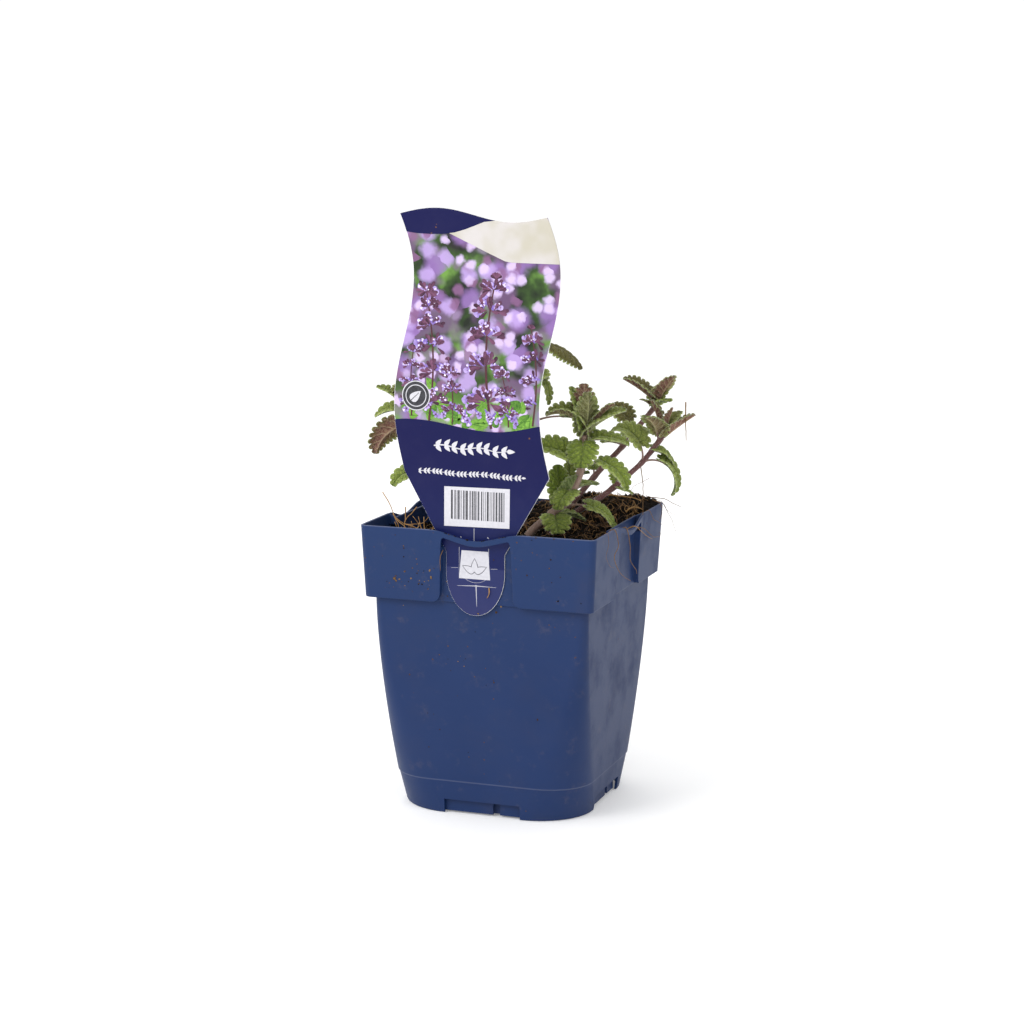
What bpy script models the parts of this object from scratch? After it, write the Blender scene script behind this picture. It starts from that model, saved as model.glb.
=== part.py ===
"""A young catmint plant in a square nursery pot, with its stick-in label.

Lengths in the tables are millimetres. The pot's front faces -Y and its underside is at z = 0.
Run with: blender --background --python part.py
"""
import math

import bmesh
import bpy
import numpy as np

MM = 0.001

# Pot, from the rim down
RIM_Z = 131.4
RIM_HALF = 55.0
COLLAR_Z = 98.6
COLLAR_HALF = 53.4
COLLAR_RADIUS = 3.2
BODY_TOP_HALF = 49.95
BODY_LINE_Z = 15.5
BODY_LINE_HALF = 46.4
BODY_FOOT_HALF = 44.4
BODY_TOP_RADIUS = 3.5
BODY_FOOT_RADIUS = 26.0
WALL = 1.2
CORNER_STEPS = 3
FLAT_SIDE = (20.0, 17.0)
RECESS_PLANE = 51.0
RECESS_TOP_Z = 130.0
# (height, half width) of the label recess in the middle of each side of the collar
RECESS_HALF = ((131.4, 21.0), (126.5, 21.0), (123.5, 16.3), (103.0, 17.0), (100.3, 18.2), (98.6, 20.0))
BAR_HALF = 22.0
BAR_DIP = 3.7
BAR_DEPTH = 2.7
BAR_BOW = 1.0
BAR_SKIRT_Z = 123.2
FLOOR_LOW_Z = 6.8
FLOOR_TOP_Z = 8.0
CUP_RADIUS = 30.0
CUP_HIGH = 7.4
NOTCH_HALF = 18.0
NOTCH_HIGH = 6.5
SLOT_WIDE = 4.0
DRAIN_RADIUS = 2.8
DRAIN_CIRCLE = 36.8

# Potting soil
GAP = 0.3
SOIL_INNER = 47.5
SOIL_RINGS = (1.0, 0.84, 0.67, 0.50, 0.33, 0.18, 0.06)

# Label
LABEL_BACK_Y = -51.3
LABEL_THICK = 0.6
LABEL_WIDE = 67.3
LABEL_TOP_Z = 269.2
LABEL_CORNER_Z = 156.5
TONGUE_TOP_Z = 121.5
TONGUE_HALF = 13.7
TONGUE_MID_X = -1.0
TONGUE_ROUND_Z = 113.0
TONGUE_END_Z = 93.5

# Leafy stems
STEM_SIDES = 8
STEM_RINGS = 6
STEM_HOLE = 0.35
BLADE_HALF_THICK = 0.36
PETIOLE_RADIUS = 0.62

# Each leaf: place along the stem, compass angle, petiole, blade length, blade width,
# rise at the stem, rise at the tip, fold of each half, roll. Angles in degrees.
STEMS = {
    "leafy_stem_front": {
        "points": ((3, -9, 112), (10, -10, 124), (19, -9.5, 132.5), (28, -11.5, 141), (34.5, -12.3, 154.5),
                   (36, -12, 169)),
        "radius": (1.9, 1.5),
        "leaves": (
            (0.41, -60, 4, 11, 14, 0, -60, 15, 0),
            (0.40, 25, 5, 11, 9, 0, -25, 25, 0),
            (0.62, -108, 3, 13, 12, 20, -70, 10, 0),
            (0.52, -30, 3, 13, 10, 60, 55, 42, 0),
            (0.47, 25, 13, 16.5, 13, 22, -52, 30, 0),
            (0.50, 130, 4, 15, 11, 60, 80, 10, 0),
            (0.79, 195, 9, 14, 15, 50, 0, 35, -25),
            (0.79, -5, 8, 19, 16, 22, -55, 25, 0),
            (0.98, -80, 3, 18, 16, -15, -50, 5, 0),
            (0.99, 20, 6, 15, 11, 20, -30, 40, 0),
            (1.00, -45, 2, 19, 12, 80, 80, 25, 0),
            (0.98, 199, 2, 24, 13, 83, -15, 35, 0),
            (0.98, 5, 2, 21, 13, 50, 27, 35, 0),
            (0.98, 175, 4, 20, 12, 85, 70, 25, 0),
            (0.98, 40, 5, 19, 11, 82, 74, 25, 0),
            (0.98, 30, 8, 13, 9, 65, 35, 30, 0),
        ),
    },
    "leafy_stem_right": {
        "points": ((11, -2, 112), (18.5, -1.5, 124), (28, 1, 133), (39.5, 8.3, 141), (51, 14, 151), (57.2, 17.6, 157.2),
                   (64.5, 22.3, 167)),
        "radius": (1.5, 1.2),
        "leaves": (
            (0.82, 175, 9, 17, 16, 95, 10, 20, 0),
            (0.82, 15, 12, 17, 9, 30, -115, 30, 0),
            (0.93, 40, 3, 13, 11, 0, -75, 20, 0),
            (0.97, -75, 4, 13, 15, 80, 20, 15, 0),
            (0.97, 15, 3, 18, 11, 42, 32, 40, 0),
            (1.00, 190, 7, 11, 9, 85, 60, 40, 0),
            (1.00, 0, 7, 8, 7, 70, 70, 25, 0),
            (1.00, 60, 5, 12, 9, 60, 20, 25, 0),
        ),
    },
    "leafy_stem_rear_right": {
        "points": ((8, 6, 112), (14, 9, 126), (23.8, 13.5, 137), (32.3, 21.8, 149), (42, 29.3, 161), (49, 34, 171),
                   (55.5, 38.2, 180)),
        "radius": (1.5, 1.2),
        "leaves": (
            (1.00, 199, 2, 16, 13, 50, 25, 35, 0),
            (1.00, -35, 3, 16, 12, 60, 45, 25, 0),
            (0.97, 230, 3, 6, 5, 50, 10, 20, 0),
            (0.97, -30, 3, 9, 9, 50, -10, 10, 0),
            (0.86, 150, 5, 11, 11, 50, 85, 10, 0),
            (0.97, 80, 3, 14, 11, 55, 10, 25, 0),
            (0.72, 60, 6, 17, 13, 40, -25, 25, 0),
            (0.72, 240, 5, 9, 8, 30, -10, 25, 0),
            (0.50, 110, 6, 14, 12, 45, -30, 25, 0),
        ),
    },
    "leafy_stem_tall": {
        "points": ((0, 7, 112), (3, 6, 150), (7, 5, 180), (10, 4, 205)),
        "radius": (1.6, 1.2),
        "leaves": (
            (0.97, 5, 2, 20, 11, 20, -50, 20, 0),
            (0.86, -30, 2, 18, 9, -35, -92, 20, 0),
            (0.63, 15, 14, 9, 8, 25, -20, 20, 0),
            (0.97, 185, 3, 18, 13, 40, -35, 20, 0),
            (1.00, 100, 2, 15, 10, 70, 30, 30, 0),
            (1.00, 280, 2, 13, 9, 72, 40, 30, 0),
            (0.80, 120, 6, 20, 15, 35, -40, 22, 0),
            (0.80, 275, 6, 19, 14, 35, -40, 22, 0),
            (0.61, 200, 7, 20, 15, 30, -45, 20, 0),
        ),
    },
    "leafy_stem_left": {
        "points": ((-6, -1, 112), (-16, -4, 135), (-33, -12, 160), (-46, -16, 174), (-51, -18, 184)),
        "radius": (1.4, 1.1),
        "leaves": (
            (0.99, 205, 2, 10, 9, 40, 20, 25, 0),
            (0.94, 190, 3, 11, 9, 10, -30, 25, 0),
            (0.84, 195, 6, 22, 16, 25, -85, 30, 0),
            (0.84, 20, 5, 17, 13, 40, -20, 25, 0),
            (0.97, 60, 2, 12, 9, 65, 30, 30, 0),
            (0.97, 290, 2, 12, 9, 60, 20, 30, 0),
            (0.60, 110, 6, 18, 14, 35, -35, 22, 0),
            (0.38, 200, 5, 14, 11, 25, -45, 22, 0),
        ),
    },
    "leafy_stem_low_left": {
        "points": ((-11, 8, 112), (-24, 10, 126), (-38, 6, 137), (-49, -2, 148)),
        "radius": (1.3, 1.0),
        "leaves": (
            (1.00, 215, 2, 11, 10, 30, -40, 20, 0),
            (1.00, 20, 2, 12, 9, 65, 35, 30, 0),
            (1.00, 120, 2, 12, 10, 50, 10, 25, 0),
            (0.72, 100, 5, 15, 12, 35, -35, 22, 0),
            (0.72, 280, 4, 13, 11, 30, -35, 22, 0),
            (0.45, 190, 5, 12, 10, 30, -35, 22, 0),
        ),
    },
    "leafy_stem_rear": {
        "points": ((-3, 16, 112), (-7, 24, 132), (-14, 33, 150), (-17, 38, 167)),
        "radius": (1.5, 1.1),
        "leaves": (
            (1.00, 200, 2, 16, 11, 60, 15, 30, 0),
            (1.00, 20, 2, 15, 11, 60, 25, 30, 0),
            (0.99, 110, 2, 17, 12, 65, 35, 28, 0),
            (0.97, 290, 2, 12, 9, 70, 50, 28, 0),
            (0.78, 105, 6, 19, 15, 30, -45, 20, 0),
            (0.78, 230, 6, 16, 13, 35, -25, 20, 0),
            (0.55, 30, 5, 15, 12, 30, -40, 20, 0),
        ),
    },
    "leafy_shoot_low_right": {
        "points": ((9, 16, 112), (13, 22, 128), (16, 29, 142)),
        "radius": (1.1, 0.9),
        "leaves": (
            (1.00, 20, 2, 9, 8, 50, 0, 22, 0),
            (1.00, 200, 2, 9, 8, 55, 10, 22, 0),
            (1.00, 110, 2, 9, 7, 75, 55, 25, 0),
            (0.78, 290, 3, 9, 9, 25, -30, 18, 0),
        ),
    },
}

# Leaf outline as (place along the midrib, half width), from the notch at the base to the tip
OUTLINE = ((0.01, 0.12), (-0.05, 0.52), (0.06, 0.92), (0.20, 1.00), (0.30, 0.85), (0.43, 0.94), (0.54, 0.71),
           (0.67, 0.72), (0.82, 0.46), (1.00, 0.07))
MIDRIB_AT = (0.02, 0.05, 0.11, 0.20, 0.31, 0.43, 0.55, 0.68, 0.83, 1.00)
SMALL_BLADE = 14.5
SMALL_OUTLINE = ((0.01, 0.14), (-0.04, 0.55), (0.15, 1.00), (0.30, 0.84), (0.48, 0.92), (0.64, 0.62), (0.82, 0.55),
                 (1.00, 0.08))
SMALL_MIDRIB_AT = (0.02, 0.06, 0.16, 0.30, 0.47, 0.64, 0.83, 1.00)


# Scene and materials

def clear_scene():
    for old in list(bpy.data.objects):
        bpy.data.objects.remove(old, do_unlink=True)


def new_collection(name):
    collection = bpy.data.collections.new(name)
    bpy.context.scene.collection.children.link(collection)
    return collection


def new_material(name, color, roughness):
    material = bpy.data.materials.new(name)
    material.use_nodes = True
    shader = material.node_tree.nodes["Principled BSDF"]
    shader.inputs["Base Color"].default_value = (*color, 1.0)
    shader.inputs["Roughness"].default_value = roughness
    material.diffuse_color = (*color, 1.0)
    return material


def new_object(name, points, faces, collection, material=None):
    """A mesh object from points in millimetres, with its faces turned outward."""
    mesh = bpy.data.meshes.new(name)
    mesh.from_pydata([tuple(float(c) * MM for c in p) for p in points], [], faces)
    bm = bmesh.new()
    bm.from_mesh(mesh)
    bmesh.ops.recalc_face_normals(bm, faces=bm.faces)
    bmesh.ops.triangulate(bm, faces=[f for f in bm.faces if len(f.verts) > 3])
    bm.to_mesh(mesh)
    bm.free()
    obj = bpy.data.objects.new(name, mesh)
    collection.objects.link(obj)
    if material:
        mesh.materials.append(material)
    return obj


def primitive_object(name, kind, collection, location, **sizes):
    """A cylinder or box, as a bmesh primitive, at a place in millimetres."""
    mesh = bpy.data.meshes.new(name)
    bm = bmesh.new()
    if kind == "cylinder":
        radius = sizes["radius"] * MM
        bmesh.ops.create_cone(bm, cap_ends=True, segments=sizes["segments"], radius1=radius, radius2=radius,
                              depth=sizes["depth"] * MM)
    else:
        bmesh.ops.create_cube(bm, size=1.0)
        bmesh.ops.scale(bm, vec=[c * MM for c in sizes["box"]], verts=bm.verts)
    bm.to_mesh(mesh)
    bm.free()
    obj = bpy.data.objects.new(name, mesh)
    obj.location = [c * MM for c in location]
    collection.objects.link(obj)
    return obj


def combine(obj, other, operation, solver="EXACT"):
    """Boolean of obj with an object or a whole collection, applied; what was used is removed."""
    modifier = obj.modifiers.new(operation.title(), "BOOLEAN")
    modifier.operation = operation
    modifier.solver = solver
    if isinstance(other, bpy.types.Collection):
        modifier.operand_type = "COLLECTION"
        modifier.collection = other
        used = list(other.objects)
    else:
        modifier.object = other
        used = [other]
    bpy.context.view_layer.update()
    evaluated = obj.evaluated_get(bpy.context.evaluated_depsgraph_get())
    mesh = bpy.data.meshes.new_from_object(evaluated)
    obj.modifiers.clear()
    old = obj.data
    obj.data = mesh
    bpy.data.meshes.remove(old)
    for item in used:
        bpy.data.objects.remove(item, do_unlink=True)


def keep_largest_piece(obj):
    """Fills hollows that a union sealed and drops loose scraps: only the biggest shell stays."""
    bm = bmesh.new()
    bm.from_mesh(obj.data)
    unseen = set(bm.verts)
    shells = []
    while unseen:
        stack = [unseen.pop()]
        shell = list(stack)
        while stack:
            for edge in stack.pop().link_edges:
                for vert in edge.verts:
                    if vert in unseen:
                        unseen.remove(vert)
                        stack.append(vert)
                        shell.append(vert)
        shells.append(shell)
    shells.sort(key=len)
    for shell in shells[:-1]:
        bmesh.ops.delete(bm, geom=shell, context="VERTS")
    bm.to_mesh(obj.data)
    bm.free()


def loft_faces(ring_count, size, closed=False):
    """Quads between rings of equal size, with end caps, or joined end to start."""
    faces = []
    last = ring_count if closed else ring_count - 1
    for i in range(last):
        a = i * size
        b = (i + 1) % ring_count * size
        for k in range(size):
            n = (k + 1) % size
            faces.append((a + k, a + n, b + n, b + k))
    if not closed:
        faces.append(tuple(range(size))[::-1])
        faces.append(tuple(range((ring_count - 1) * size, ring_count * size)))
    return faces


# Pot

def body_half(z):
    if z >= BODY_LINE_Z:
        drop = (COLLAR_Z - z) / (COLLAR_Z - BODY_LINE_Z)
        return BODY_TOP_HALF - (BODY_TOP_HALF - BODY_LINE_HALF) * max(drop, 0.0) ** 1.6
    return BODY_FOOT_HALF + (BODY_LINE_HALF - 0.3 - BODY_FOOT_HALF) * z / BODY_LINE_Z


def body_radius(z):
    drop = max(COLLAR_Z - z, 0.0) / COLLAR_Z
    return BODY_TOP_RADIUS + (BODY_FOOT_RADIUS - BODY_TOP_RADIUS) * drop ** 1.5


def collar_half(z):
    return COLLAR_HALF + (RIM_HALF - COLLAR_HALF) * (z - COLLAR_Z) / (RIM_Z - COLLAR_Z)


def recess_half(z):
    heights = [z0 for z0, _ in RECESS_HALF[::-1]]
    halves = [x0 for _, x0 in RECESS_HALF[::-1]]
    return float(np.interp(z, heights, halves))


def square_ring(half, radius, z, inset, recess=0.0, recess_z=None, flat=FLAT_SIDE):
    """A rounded square, moved in by inset, with a recess in the middle of each side."""
    h = half - inset
    r = max(radius - inset, 0.8)
    if recess:
        x = recess + inset
        plane = RECESS_PLANE - inset
        side = [(h, -x, z), (plane, -x, recess_z or z), (plane, x, recess_z or z), (h, x, z)]
    else:
        far = min(flat[0], h - r - 0.4)
        near = far * flat[1] / flat[0]
        side = [(h, -far, z), (h, -near, z), (h, near, z), (h, far, z)]
    arc = []
    for k in range(CORNER_STEPS + 1):
        a = math.pi / 2 * k / CORNER_STEPS
        arc.append((h - r + r * math.cos(a), h - r + r * math.sin(a), z))
    quarter = side + arc
    ring = []
    for turn in range(4):
        c, s = ((1, 0), (0, 1), (-1, 0), (0, -1))[turn]
        ring += [(x * c - y * s, x * s + y * c, zz) for x, y, zz in quarter]
    return ring


def body_ring(z, inset):
    return square_ring(body_half(z), body_radius(z), z, inset)


def collar_ring(z, inset, recess_z=None):
    return square_ring(collar_half(z), COLLAR_RADIUS, z, inset, recess_half(z), recess_z)


OUTER_LEVELS = (0.0, 15.2, 15.5, 36.0, 66.0)
INNER_LEVELS = (0.0, 15.2, 36.0, 66.0)
COLLAR_LEVELS = (100.3, 103.0, 123.5, 126.5)


def build_pot(parts, material):
    outer = [body_ring(z, 0.0) for z in OUTER_LEVELS]
    outer += [body_ring(COLLAR_Z, 0.0), collar_ring(COLLAR_Z, 0.0)]
    outer += [collar_ring(z, 0.0) for z in COLLAR_LEVELS]
    outer.append(collar_ring(RIM_Z, 0.0, RECESS_TOP_Z))
    ledge = COLLAR_Z + WALL
    inner = [collar_ring(RIM_Z, WALL, RECESS_TOP_Z)]
    inner += [collar_ring(z, WALL) for z in COLLAR_LEVELS[::-1]]
    inner += [collar_ring(ledge, WALL), square_ring(body_half(COLLAR_Z), BODY_TOP_RADIUS, ledge, WALL)]
    inner += [body_ring(z, WALL) for z in INNER_LEVELS[::-1]]
    rings = outer + inner
    points = [p for ring in rings for p in ring]
    pot = new_object("pot", points, loft_faces(len(rings), len(rings[0]), closed=True), parts, material)

    joined = new_collection("pot_additions")
    floor = [body_ring(z, WALL * 0.5) for z in (FLOOR_LOW_Z, FLOOR_TOP_Z)]
    new_object("floor", [p for r in floor for p in r], loft_faces(2, len(floor[0])), joined)
    primitive_object("cup", "cylinder", joined, (0, 0, CUP_HIGH / 2), radius=CUP_RADIUS, depth=CUP_HIGH,
                     segments=24)
    for turn in range(4):
        build_bar(joined, turn)
    combine(pot, joined, "UNION")
    bpy.data.collections.remove(joined)

    holes = new_collection("pot_holes")
    primitive_object("cup_inside", "cylinder", holes, (0, 0, WALL + 5), radius=CUP_RADIUS - WALL, depth=10.0,
                     segments=24)
    for turn in range(4):
        a = math.pi / 2 * turn
        middle = 41.5
        notch = primitive_object("notch", "box", holes, (middle * math.cos(a), middle * math.sin(a), 0),
                                 box=(14, 2 * NOTCH_HALF, 2 * NOTCH_HIGH))
        notch.rotation_euler[2] = a
        b = a + math.pi / 4
        slot = primitive_object("slot", "box", holes, (29.4 * math.cos(b), 29.4 * math.sin(b), WALL + 2.3),
                                box=(4.0, SLOT_WIDE, 3.6))
        slot.rotation_euler[2] = b
        for side in (-1, 1):
            c = a + side * math.radians(19)
            primitive_object("drain", "cylinder", holes,
                             (DRAIN_CIRCLE * math.cos(c), DRAIN_CIRCLE * math.sin(c), FLOOR_TOP_Z),
                             radius=DRAIN_RADIUS, depth=4.0, segments=8)
    combine(pot, holes, "DIFFERENCE")
    bpy.data.collections.remove(holes)
    return pot


def build_bar(collection, turn):
    """The rim's bridge over a recess: a thin strip that dips and bows out in the middle."""
    steps = 8
    across = [BAR_HALF * (2 * k / steps - 1) for k in range(steps + 1)]

    def dip(x):
        return BAR_DIP * (0.5 + 0.5 * math.cos(math.pi * min(abs(x) / 21.0, 1.0)))

    upper = [(x, RIM_Z - dip(x)) for x in across]
    lower = [(x, RIM_Z - BAR_DEPTH - dip(x) if abs(x) < 16.0 else BAR_SKIRT_Z) for x in across]
    c, s = ((1, 0), (0, 1), (-1, 0), (0, -1))[turn]
    rings = []
    for (x, z1), (_, z0) in zip(upper, lower):
        bow = BAR_BOW * max(0.0, 1 - (x / 20.0) ** 2)
        ring = []
        for depth, z in ((0.1, z0), (0.1, z1 - 0.05), (WALL - 0.1, z1 - 0.05), (WALL - 0.1, z0)):
            out = collar_half(z) - depth + bow
            ring.append((x * c + out * s, x * s - out * c, z))
        rings.append(ring)
    return new_object("bar", [p for r in rings for p in r], loft_faces(len(rings), 4), collection)


# Soil

def soil_height(x, y):
    rise = min(max((y - 5) / 40, 0.0), 1.0) * min(max((x + 35) / 60, 0.0), 1.0)
    heap = rise * rise * (3 - 2 * rise)
    crown = 3.0 * math.exp(-((x - 8) ** 2 + (y - 4) ** 2) / 650)
    lumps = 0.9 * math.sin(x / 5.1 + 1.0) * math.sin(y / 4.3) + 0.5 * math.sin(x / 2.3 + y / 3.1)
    return 120.0 + 14.5 * heap + crown + lumps


def build_soil(parts, material):
    inset = WALL + GAP
    ledge = COLLAR_Z + WALL + GAP
    rings = [body_ring(z, inset) for z in (FLOOR_TOP_Z + GAP, *INNER_LEVELS[1:])]
    rings.append(square_ring(body_half(COLLAR_Z), BODY_TOP_RADIUS, ledge, inset))
    rings.append(collar_ring(ledge, inset))
    rings += [collar_ring(z, inset) for z in (103.0, 111.0)]
    rings.append(square_ring(collar_half(115.0), COLLAR_RADIUS, 115.0, inset, RECESS_HALF[0][1]))
    edge = square_ring(collar_half(118.0), COLLAR_RADIUS, 118.0, inset, RECESS_HALF[0][1])
    tops = [edge] + [square_ring(SOIL_INNER * k, 0.0, 0.0, 0.0, flat=(24.0 * k, 21.0 * k)) for k in SOIL_RINGS]
    rings += [[(x, y, soil_height(x, y)) for x, y, _ in ring] for ring in tops]
    soil = new_object("potting_soil", [p for r in rings for p in r], loft_faces(len(rings), len(edge)), parts,
                      material)
    plug = primitive_object("plug", "cylinder", parts, (0, 0, (WALL + GAP + 12) / 2), segments=24,
                            radius=CUP_RADIUS - WALL - GAP, depth=12 - WALL - GAP)
    combine(soil, plug, "UNION", "MANIFOLD")
    return soil


# Label

def label_outline():
    """The label's outline in the x, z plane: waved sides and top, tapering to a round tongue."""
    def centre(z):
        return -1.05 + 4.6 * math.sin(2 * math.pi * (z - 214.5) / 114.0)

    def top(x):
        return LABEL_TOP_Z + 2.8 * math.cos(2 * math.pi * (x + 19.5) / 69.0)

    half = LABEL_WIDE / 2
    side_steps = 16
    left_x = centre(LABEL_TOP_Z) - half
    right_x = centre(LABEL_TOP_Z) + half
    outline = []
    for k in range(side_steps + 1):
        z = LABEL_CORNER_Z + (top(right_x) - LABEL_CORNER_Z) * k / side_steps
        outline.append((centre(z) + half, z))
    for k in range(1, 14):
        x = right_x + (left_x - right_x) * k / 14
        outline.append((x, top(x)))
    for k in range(side_steps + 1):
        z = top(left_x) + (LABEL_CORNER_Z - top(left_x)) * k / side_steps
        outline.append((centre(z) - half, z))
    outline.append((TONGUE_MID_X - TONGUE_HALF, TONGUE_TOP_Z))
    for k in range(13):
        a = math.pi + math.pi * k / 12
        outline.append((TONGUE_MID_X + TONGUE_HALF * math.cos(a),
                        TONGUE_ROUND_Z + (TONGUE_ROUND_Z - TONGUE_END_Z) * math.sin(a)))
    outline.append((TONGUE_MID_X + TONGUE_HALF, TONGUE_TOP_Z))
    return outline


def build_label(parts, material):
    curve = bpy.data.curves.new("label_outline", "CURVE")
    curve.dimensions = "2D"
    curve.fill_mode = "BOTH"
    curve.extrude = LABEL_THICK / 2 * MM
    outline = label_outline()
    spline = curve.splines.new("POLY")
    spline.points.add(len(outline) - 1)
    for point, (x, z) in zip(spline.points, outline):
        point.co = (x * MM, z * MM, 0, 1)
    spline.use_cyclic_u = True
    drawn = bpy.data.objects.new("label_outline", curve)
    drawn.rotation_euler[0] = math.pi / 2
    drawn.location[1] = (LABEL_BACK_Y - LABEL_THICK / 2) * MM
    parts.objects.link(drawn)
    bpy.context.view_layer.update()
    mesh = bpy.data.meshes.new_from_object(drawn.evaluated_get(bpy.context.evaluated_depsgraph_get()))
    bm = bmesh.new()
    bm.from_mesh(mesh)
    bmesh.ops.remove_doubles(bm, verts=bm.verts, dist=1e-6)
    bmesh.ops.recalc_face_normals(bm, faces=bm.faces)
    bm.to_mesh(mesh)
    bm.free()
    label = bpy.data.objects.new("plant_label", mesh)
    label.matrix_world = drawn.matrix_world
    parts.objects.link(label)
    bpy.data.objects.remove(drawn, do_unlink=True)
    mesh.materials.clear()
    mesh.materials.append(material)
    return label


# Leafy stems

def spline_points(points, count):
    """Even points on a smooth curve through the given ones."""
    p = np.array(points, float)
    ext = np.vstack([2 * p[0] - p[1], p, 2 * p[-1] - p[-2]])
    fine = []
    for i in range(len(p) - 1):
        a, b, c, d = ext[i:i + 4]
        for t in np.linspace(0, 1, 12, endpoint=False):
            fine.append(0.5 * (2 * b + (c - a) * t + (2 * a - 5 * b + 4 * c - d) * t ** 2
                               + (3 * b - a - 3 * c + d) * t ** 3))
    fine.append(p[-1])
    fine = np.array(fine)
    along = np.r_[0, np.cumsum(np.linalg.norm(np.diff(fine, axis=0), axis=1))]
    even = np.linspace(0, along[-1], count)
    return np.stack([np.interp(even, along, fine[:, k]) for k in range(3)], 1)


def stem_mesh(points, radii, grow=0.0, sides=STEM_SIDES, start_down=0.0):
    """A tube of square section with rounded corners, as catmint stems have."""
    path = spline_points(points, STEM_RINGS)
    path[0, 2] -= start_down
    rings = []
    for k, centre in enumerate(path):
        a, b = path[max(k - 1, 0)], path[min(k + 1, len(path) - 1)]
        t = (b - a) / np.linalg.norm(b - a)
        side = np.cross(t, (0.3, 1.0, 0.0))
        side /= np.linalg.norm(side)
        other = np.cross(t, side)
        r = radii[0] + (radii[1] - radii[0]) * k / (len(path) - 1) + grow
        ring = []
        for j in range(sides):
            angle = 2 * math.pi * (j + 0.5) / sides
            ring.append(centre + r * (side * math.cos(angle) + other * math.sin(angle)))
        rings.append(ring)
    return [p for r in rings for p in r], loft_faces(len(rings), sides)


def leaf_frame(azimuth, rise, roll):
    """Along, side and upper-face directions of a leaf at one place on its midrib."""
    a, e, w = math.radians(azimuth), math.radians(rise), math.radians(roll)
    along = np.array((math.cos(e) * math.cos(a), math.cos(e) * math.sin(a), math.sin(e)))
    up = np.array((-math.sin(e) * math.cos(a), -math.sin(e) * math.sin(a), math.cos(e)))
    side = np.cross(along, up)
    return along, side * math.cos(w) + up * math.sin(w), up * math.cos(w) - side * math.sin(w)


def midrib_place(start, azimuth, rise0, rise1, total, distance):
    """A point on the midrib, which bends evenly from one rise to the other, and its rise."""
    steps = 10
    point = np.array(start, float)
    for k in range(steps):
        f = distance * (k + 0.5) / steps / total
        along, _, _ = leaf_frame(azimuth, rise0 + (rise1 - rise0) * f, 0)
        point = point + along * distance / steps
    return point, rise0 + (rise1 - rise0) * distance / total


def leaf_mesh(start, azimuth, petiole, blade, width, rise0, rise1, fold, roll):
    """One leaf as six-sided sections: a thin petiole, then a folded blade with scalloped edges."""
    total = petiole + blade
    f = math.radians(fold)
    points = []
    neck = petiole - 0.06 * blade - 0.5
    for distance in (0.0, neck * 0.5, neck) if petiole > 5 else (0.0, neck):
        centre, rise = midrib_place(start, azimuth, rise0, rise1, total, distance)
        _, side, up = leaf_frame(azimuth, rise, roll)
        for k in range(6):
            angle = math.pi * (0.5 + k / 3)
            points.append(centre + PETIOLE_RADIUS * (side * math.cos(angle) + up * math.sin(angle)))
    small = blade < SMALL_BLADE
    for (u, v), m in zip(SMALL_OUTLINE, SMALL_MIDRIB_AT) if small else zip(OUTLINE, MIDRIB_AT):
        middle, rise_m = midrib_place(start, azimuth, rise0, rise1, total, petiole + m * blade)
        _, _, up_m = leaf_frame(azimuth, rise_m, roll)
        edge, rise_e = midrib_place(start, azimuth, rise0, rise1, total, petiole + max(u, 0.0) * blade)
        along, side, up = leaf_frame(azimuth, rise_e, roll)
        edge = edge + along * min(u, 0.0) * blade
        t = BLADE_HALF_THICK
        section = [middle + up_m * t * 1.6, None, None, middle - up_m * t * 1.6, None, None]
        for sign, slots in ((-1, (1, 2)), (1, (5, 4))):
            out = side * sign * math.cos(f) + up * math.sin(f)
            face = up * math.cos(f) - side * sign * math.sin(f)
            rim = edge + out * max(v * width / 2, 0.5)
            section[slots[0]] = rim + face * t
            section[slots[1]] = rim - face * t
        points += section
    rings = len(points) // 6
    faces = []
    for i in range(rings - 1):
        for k in range(6):
            n = (k + 1) % 6
            a, b, c, d = i * 6 + k, i * 6 + n, i * 6 + 6 + n, i * 6 + 6 + k
            faces += [(a, b, c), (a, c, d)] if k in (0, 1, 3) else [(a, b, d), (b, c, d)]
    faces.append(tuple(range(6))[::-1])
    faces.append(tuple(range(6 * rings - 6, 6 * rings)))
    return points, faces


def build_stem(name, spec, parts, material):
    stem = new_object(name, *stem_mesh(spec["points"], spec["radius"]), parts, material)
    path = spline_points(spec["points"], 201)
    leaves = new_collection(name + "_leaves")
    for place, *shape in spec["leaves"]:
        start = path[round(place * 200)]
        new_object("leaf", *leaf_mesh(start, *shape), leaves)
    combine(stem, leaves, "UNION", "MANIFOLD")
    keep_largest_piece(stem)
    bpy.data.collections.remove(leaves)
    return stem


def main():
    clear_scene()
    parts = new_collection("potted_catmint")
    pot_blue = new_material("pot_blue_plastic", (0.026, 0.062, 0.185), 0.45)
    soil_brown = new_material("potting_soil", (0.022, 0.014, 0.008), 0.95)
    label_navy = new_material("label_plastic", (0.05, 0.05, 0.17), 0.35)
    leaf_green = new_material("catmint_green", (0.11, 0.19, 0.05), 0.7)

    build_pot(parts, pot_blue)
    soil = build_soil(parts, soil_brown)
    holes = new_collection("stem_holes")
    for name, spec in STEMS.items():
        new_object(name + "_hole", *stem_mesh(spec["points"], spec["radius"], STEM_HOLE, 10, 0.4), holes)
    combine(soil, holes, "DIFFERENCE", "MANIFOLD")
    bpy.data.collections.remove(holes)
    build_label(parts, label_navy)
    for name, spec in STEMS.items():
        build_stem(name, spec, parts, leaf_green)


main()
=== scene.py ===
"""The looks of a young catmint plant in a square nursery pot, with its stick-in label.

Lengths in the tables are millimetres in the model's frame: the pot's front faces -Y and it stands at z = 0.
"""

import math

import bmesh
import bpy
import numpy as np
from mathutils import Matrix


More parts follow.
